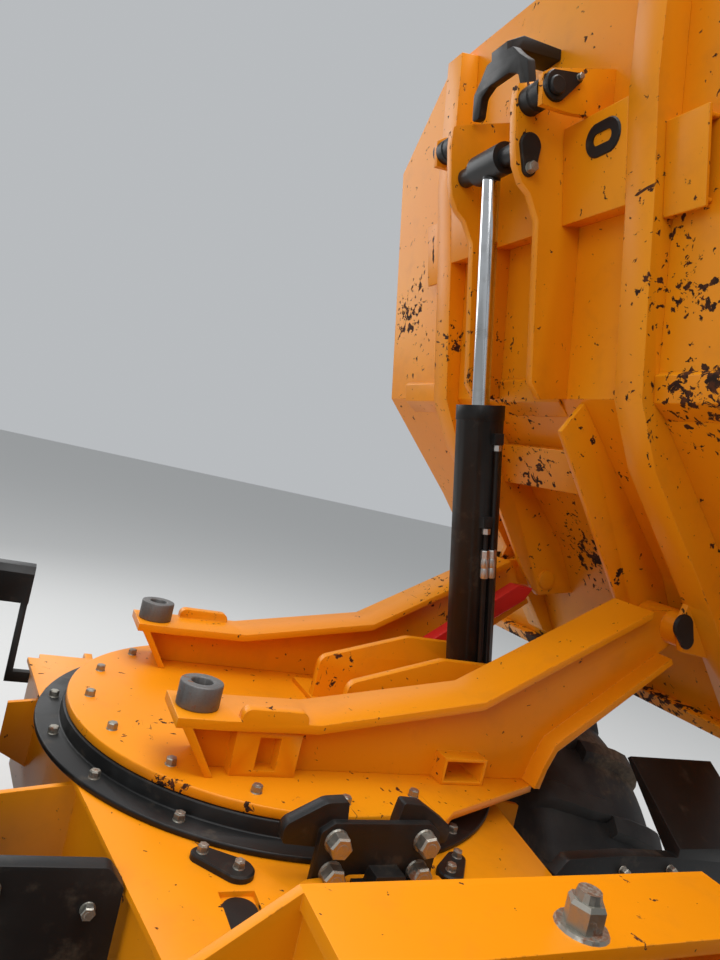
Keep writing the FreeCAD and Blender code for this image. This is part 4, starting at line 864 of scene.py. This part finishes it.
WHEEL_NUTS, HUB_SCREWS = (10, 0.0, 0.168, 0.008, M20), (6, 0.5, 0.096, 0.084, M10)
for end in ("front_left", "front_right", "rear_left", "rear_right"):
    outward = LEFT if "left" in end else -LEFT
    hub = middle_of("tyre_" + end)
    tyre("tyre_tread_" + end, "tyre_" + end)
    rows = []
    for count, first, ring, out, flats in (WHEEL_NUTS, HUB_SCREWS):
        for step in range(count):
            angle = math.tau * (step + first) / count
            across = AHEAD * math.cos(angle) + UP * math.sin(angle)
            rows.append((hub + outward * out + across * ring, outward, flats))
    bolts("wheel_nuts_" + end, "wheel_" + end, rows, head_height=0.7, stud_radius=0.34, stud_height=0.35)


# Seat: cushions swollen by a cloth simulation, with sewn channels and piping

VOXEL, BLOCK_ROUNDING = 0.006, 0.022
SWELL_FRAMES, SWELL_CAP, SWELL_PRESSURE = 20, 0.024, 4.0
CHANNEL_DEPTH, CHANNEL_WIDTH, PIPING = 0.007, 0.009, 0.0042


def block(name, outline, half):
    """A closed block of an outline of places ahead and up, with rounded edges."""
    bm = bmesh.new()
    ends = [[bm.verts.new(on_machine(ahead, half * side, up)) for ahead, up in outline]
            for side in (-1, 1)]
    bm.faces.new(ends[0])
    bm.faces.new(reversed(ends[1]))
    for i in range(len(outline)):
        j = (i + 1) % len(outline)
        bm.faces.new((ends[0][j], ends[0][i], ends[1][i], ends[1][j]))
    bmesh.ops.bevel(bm, geom=bm.edges[:], offset=BLOCK_ROUNDING, segments=3, affect="EDGES", profile=0.5)
    bmesh.ops.recalc_face_normals(bm, faces=bm.faces)
    return placed(name, mesh_of(bm, name, FINISHES["seat_vinyl"]))


def swell(piece, resting):
    """Blows the cloth up a little, held where it rests, with each point's move capped."""
    mesh = piece.data
    start = [vertex.co.copy() for vertex in mesh.vertices]
    held = piece.vertex_groups.new(name="held")
    held.add([i for i, place in enumerate(start) if resting(place)], 1.0, "REPLACE")
    modifier = piece.modifiers.new("cloth", "CLOTH")
    settings = modifier.settings
    settings.use_pressure = True
    settings.uniform_pressure_force = SWELL_PRESSURE
    settings.vertex_group_mass = "held"
    settings.effector_weights.gravity = 0.0
    modifier.collision_settings.use_collision = False
    modifier.point_cache.frame_start = 1
    modifier.point_cache.frame_end = SWELL_FRAMES
    for number in range(1, SWELL_FRAMES + 1):
        bpy.context.scene.frame_set(number)
        evaluated(piece).data.vertices[0].co.copy()
    places = [vertex.co.copy() for vertex in evaluated(piece).data.vertices]
    piece.modifiers.remove(modifier)
    bpy.context.scene.frame_set(1)
    for vertex, before, after in zip(mesh.vertices, start, places):
        step = after - before
        if step.length > SWELL_CAP:
            step *= SWELL_CAP / step.length
        vertex.co = before + step
    piece.vertex_groups.clear()


def sew_channels(piece, depth_at):
    """Draws the cover in along sewn lines."""
    mesh = piece.data
    normals = [vertex.normal.copy() for vertex in mesh.vertices]
    for vertex, normal in zip(mesh.vertices, normals):
        vertex.co -= normal * depth_at(vertex.co, normal)


def piping(name, piece, route):
    """A round cord sewn along a closed route, laid on the cover's surface."""
    mesh = piece.data
    tree = BVHTree.FromPolygons([v.co for v in mesh.vertices], [p.vertices for p in mesh.polygons])
    curve = bpy.data.curves.new(name, "CURVE")
    curve.dimensions = "3D"
    curve.bevel_depth = PIPING
    curve.bevel_resolution = 2
    spline = curve.splines.new("NURBS")
    spline.points.add(len(route) - 1)
    for point, place in zip(spline.points, route):
        surface = tree.find_nearest(place)[0]
        point.co = (*surface, 1.0)
    spline.use_cyclic_u = True
    spline.order_u = 3
    made = evaluated_mesh(placed(name + "_path", curve), name)
    made.materials.clear()
    made.materials.append(FINISHES["seat_vinyl"])
    piece_of(name, made, "rear")


def box_route(*corners, steps=14, rounding=0.05):
    """Points round a four-cornered loop whose corners are rounded."""
    route = []
    for i, corner in enumerate(corners):
        before = (corners[i - 1] - corner).normalized()
        after = (corners[(i + 1) % 4] - corner).normalized()
        for step in range(5):
            share = step / 4
            route.append(corner + before * rounding * (1 - share) ** 2 + after * rounding * share ** 2)
        goal = corners[(i + 1) % 4] - after * rounding
        here = corner + after * rounding
        for step in range(1, steps):
            route.append(here.lerp(goal, step / steps))
    return route


def cushion(name, node, outline, half, resting, depth_at, route):
    """A seat cushion in a CAD node's place: a block swollen as cloth, sewn and edged with piping."""
    holder = block(name + "_block", outline, half)
    remesh = holder.modifiers.new("voxels", "REMESH")
    remesh.mode = "VOXEL"
    remesh.voxel_size = VOXEL
    remesh.use_smooth_shade = True
    made = evaluated_mesh(holder, name)
    made.materials.clear()
    made.materials.append(FINISHES["seat_vinyl"])
    piece = placed(name, made)
    swell(piece, resting)
    sew_channels(piece, depth_at)
    piping(name + "_piping", piece, route)
    smoother = piece.modifiers.new("cover", "SUBSURF")
    smoother.levels = 1
    smoother.render_levels = 1
    made.shade_smooth()
    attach(piece, "rear")
    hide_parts(node)


SEAT_LOW, SEAT_CHANNELS, BACK_CHANNELS = 1.1315, (-0.09, 0.09), (1.36, 1.47, 1.58)


def channel_depth(facing, place, lines):
    """How deep the nearest of the sewn lines draws in a cover that faces their way by so much."""
    if facing < 0.5:
        return 0.0
    gap = min(abs(place - line) for line in lines)
    return CHANNEL_DEPTH * math.exp(-(gap / CHANNEL_WIDTH) ** 2)


# Two lines run fore and aft on the seat, and three across the front of its back

cushion("seat_cover", "seat_cushion",
        [(-2.050, SEAT_LOW), (-1.664, SEAT_LOW), (-1.656, 1.203), (-2.050, 1.190)], 0.218,
        lambda place: place.z < SEAT_LOW + 0.012,
        lambda place, normal: channel_depth(normal.z, place.y - AXIS.y, SEAT_CHANNELS),
        box_route(on_machine(-2.052, 0.222, 1.192), on_machine(-1.654, 0.222, 1.205),
                  on_machine(-1.654, -0.222, 1.205), on_machine(-2.052, -0.222, 1.192)))
cushion("backrest_cover", "seat_back",
        [(-2.103, 1.223), (-2.032, 1.245), (-2.064, 1.684), (-2.103, 1.684)], 0.208,
        lambda place: place.x < AXIS.x - 2.092,
        lambda place, normal: channel_depth(normal.x, place.z, BACK_CHANNELS),
        box_route(on_machine(-2.030, 0.212, 1.242), on_machine(-2.062, 0.212, 1.686),
                  on_machine(-2.062, -0.212, 1.686), on_machine(-2.030, -0.212, 1.242)))


# Steering wheel with a round rim, three spokes and a domed boss

WHEEL = on_machine(-1.392, 0.0, 1.592)
WHEEL_AXIS, WHEEL_TOP = (UP - AHEAD).normalized(), (UP + AHEAD).normalized()
RIM_RADIUS, GRIP = 0.185, 0.0125
rim_profile = [(GRIP * math.sin(math.tau * i / 12), RIM_RADIUS + GRIP * math.cos(math.tau * i / 12))
               for i in range(12)]
grip = turned_piece("steering_rim", "steering_wheel", "wheel_plastic", WHEEL, WHEEL_AXIS,
                    rim_profile + rim_profile[:1], 72)
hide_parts("steering_wheel")
for number, degrees in enumerate((60, 180, 300)):
    angle = math.radians(degrees)
    outward = WHEEL_TOP * math.cos(angle) + LEFT * math.sin(angle)
    keeper_plate("steering_spoke_%d" % number, "steering_wheel",
                 WHEEL + outward * 0.030 - WHEEL_AXIS * 0.006,
                 WHEEL + outward * (RIM_RADIUS - 0.006) - WHEEL_AXIS * 0.004, (0.018, 0.012),
                 WHEEL_AXIS, 0.008)
turned_piece("steering_boss", "steering_wheel", "wheel_plastic", WHEEL - WHEEL_AXIS * 0.0295, WHEEL_AXIS,
             [(0, 0.030), (0.016, 0.036), (0.030, 0.041), (0.036, 0.039), (0.040, 0.030), (0.042, 0.0)], 40)


# Lamps, beacon, gauges, levers, caps and hood fittings

LAMP_BEZEL = [(0, 0.036), (0, 0.046), (0.007, 0.046), (0.009, 0.044), (0.009, 0.039), (0, 0.036)]
LAMP_GLASS = [(0.0, 0.0385), (0.004, 0.0385), (0.007, 0.026), (0.008, 0.0)]
TANK_CAP = [(0, 0.040), (0.014, 0.040), (0.014, 0.046), (0.034, 0.044), (0.038, 0.040), (0.040, 0.0)]
for side, word in SIDES:
    lamp = on_machine(0.640, 0.649 * side, 1.077)
    turned_piece("headlamp_bezel_" + word, "front", "lamp_housing", lamp, AHEAD, LAMP_BEZEL, 40)
    turned_piece("headlamp_glass_" + word, "front", "lamp_housing", lamp, AHEAD, LAMP_GLASS, 40,
                 "clear_glass")
    turned_piece("tank_cap_" + word, "rear", "black_paint", on_machine(-1.585, 0.640 * side, 0.702), UP,
                 TANK_CAP, 24)
beacon_foot = on_machine(-2.120, 0.300, 2.6403)
turned_piece("beacon_foot", "rear", "lamp_housing", beacon_foot, UP,
             [(0, 0.055), (0.020, 0.055), (0.024, 0.051), (0.024, 0.0)], 40)
dome = turned_piece("beacon_dome", "rear", "amber_lens", beacon_foot, UP,
                    [(0.024, 0.050), (0.060, 0.049), (0.088, 0.044), (0.106, 0.032), (0.115, 0.018),
                     (0.118, 0.0)], 40)
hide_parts("beacon")

CONSOLE_FACE = Vector((-0.082, 0, 0.070))
GAUGE_BEZEL = [(-0.004, 0.030), (0.008, 0.030), (0.010, 0.028), (0.008, 0.025), (0.004, 0.025),
               (-0.004, 0.025), (-0.004, 0.030)]
GAUGE_GLASS = [(-0.004, 0.0252), (0.005, 0.0252), (0.006, 0.0)]
LEVER = [(0, 0.013), (0.018, 0.009), (0.020, 0.005), (0.100, 0.004), (0.104, 0.010), (0.116, 0.016),
         (0.130, 0.0165), (0.142, 0.011), (0.147, 0.0)]
for number, across in enumerate((-0.048, 0.048)):
    gauge = on_machine(-1.365, across, 1.491)
    turned_piece("gauge_bezel_%d" % number, "rear", "black_paint", gauge, CONSOLE_FACE, GAUGE_BEZEL)
    turned_piece("gauge_glass_%d" % number, "rear", "black_paint", gauge, CONSOLE_FACE, GAUGE_GLASS, 32,
                 "clear_glass")
for number, across in enumerate((-0.060, -0.086)):
    turned_piece("lever_%d" % number, "rear", "black_paint", on_machine(-1.300, across, 1.520),
                 (-0.25, 0.05 * number, 1), LEVER, 20)

# Hood louvres: a plate on the hood's side with a lip that stands out along its foot

HOOD_SIDE, HOOD_LOUVRES, LOUVRE_STEP, LOUVRE_HEIGHT = 0.330, 7, 0.036, 0.024
for side, word in SIDES:
    bm = bmesh.new()
    for number in range(HOOD_LOUVRES):
        level = 1.010 + LOUVRE_STEP * number
        for first, second in ((-2.700, -2.490), (-2.460, -2.250)):
            head = level + LOUVRE_HEIGHT
            flat = [(first, level), (second, level), (second, head), (first, head)]
            low = [bm.verts.new(on_machine(x, (HOOD_SIDE - 0.0005) * side, z)) for x, z in flat]
            lip = [bm.verts.new(on_machine(x, (HOOD_SIDE + 0.010) * side, z + 0.003))
                   for x, z in ((first + 0.012, level), (second - 0.012, level))]
            bm.faces.new(low)
            bm.faces.new((low[0], low[1], lip[1], lip[0]))
            bm.faces.new((lip[0], lip[1], low[2], low[3]))
            bm.faces.new((low[0], lip[0], low[3]))
            bm.faces.new((low[1], low[2], lip[1]))
    piece_from(bm, "hood_louvres_" + word, "hood", "orange_paint")

GRIP_POST = [(0, 0.011), (0.004, 0.011), (0.006, 0.006), (0.032, 0.006)]
GRIP_BAR = [(0, 0.0), (0, 0.006), (0.002, 0.008), (0.138, 0.008), (0.140, 0.006), (0.140, 0.0)]
for side, word in SIDES:
    turned_piece("hood_grip_post_" + word, "hood", "black_paint", on_machine(-2.790, 0.055 * side, 1.330),
                 BACK, GRIP_POST, 16)
turned_piece("hood_grip_bar", "hood", "black_paint", on_machine(-2.820, -0.070, 1.330), LEFT, GRIP_BAR, 20)

bolts("roll_frame_bolts", "rear", [
    (on_machine(ahead, across * side, 0.860), UP, M10)
    for side in (1, -1) for ahead in (-2.176, -2.064) for across in (0.490, 0.535)])
bolts("guard_bolts", "front", [
    (on_machine(-0.600, across * side, up), BACK, M12)
    for side in (1, -1) for across, up in ((0.465, 0.900), (0.465, 0.760), (0.600, 0.935), (0.740, 0.935))])


# Camera as in the photograph, fitted to it: its place and the directions to its right, up and back

FOCAL_PIXELS, PHOTO_HEIGHT, SENSOR = 709.757, 960, 36.0
CAMERA_TURN = Matrix(((-0.40156048, -0.88578141, 0.23268108), (0.10592213, 0.20744092, 0.97249615),
                      (-0.90968659, 0.4151621, 0.01052378))).transposed().to_4x4()
camera_data = bpy.data.cameras.new("camera")
camera_data.sensor_fit = "VERTICAL"
camera_data.sensor_height = SENSOR
camera_data.lens = FOCAL_PIXELS / PHOTO_HEIGHT * SENSOR
camera = placed("camera", camera_data)
camera.matrix_world = Matrix.Translation(on_machine(-1.6449, 0.6747, AXIS.z + 0.6291)) @ CAMERA_TURN
bpy.context.scene.camera = camera


# Studio: pale floor, pale world and soft lamps

FLOOR_COLOUR, FLOOR_ROUGH, FLOOR_HALF = (0.62, 0.62, 0.61, 1), 0.9, 30
SKY_COLOUR, SKY_STRENGTH = (0.80, 0.83, 0.86, 1), 0.60

# A lamp's place, what it aims at, its size and its power

LAMPS = (
    ("sky_lamp", (0.5, -0.5, 6.5), (0.9, 0, 1.0), 5.0, 370),
    ("side_lamp", (-3.5, 4.5, 4.5), (0.9, 0, 1.2), 3.0, 100),
    ("front_lamp", (5.5, 2.0, 3.5), (0.9, 0, 1.2), 3.0, 70),
)
floor_paint = bpy.data.materials.new("studio_floor")
floor_paint.use_nodes = True
shader = floor_paint.node_tree.nodes["Principled BSDF"]
shader.inputs["Base Color"].default_value = FLOOR_COLOUR
shader.inputs["Roughness"].default_value = FLOOR_ROUGH
bm = bmesh.new()
bmesh.ops.create_grid(bm, x_segments=1, y_segments=1, size=FLOOR_HALF)
placed("floor", mesh_of(bm, "floor", floor_paint))
world = bpy.data.worlds.new("studio")
world.use_nodes = True
background = world.node_tree.nodes["Background"]
background.inputs["Color"].default_value = SKY_COLOUR
background.inputs["Strength"].default_value = SKY_STRENGTH
bpy.context.scene.world = world
for name, place, target, size, power in LAMPS:
    data = bpy.data.lights.new(name, "AREA")
    data.size = size
    data.energy = power
    aim = (Vector(target) - Vector(place)).to_track_quat("-Z", "Y").to_matrix().to_4x4()
    placed(name, data).matrix_world = Matrix.Translation(place) @ aim
bpy.context.scene.view_settings.view_transform = "Standard"
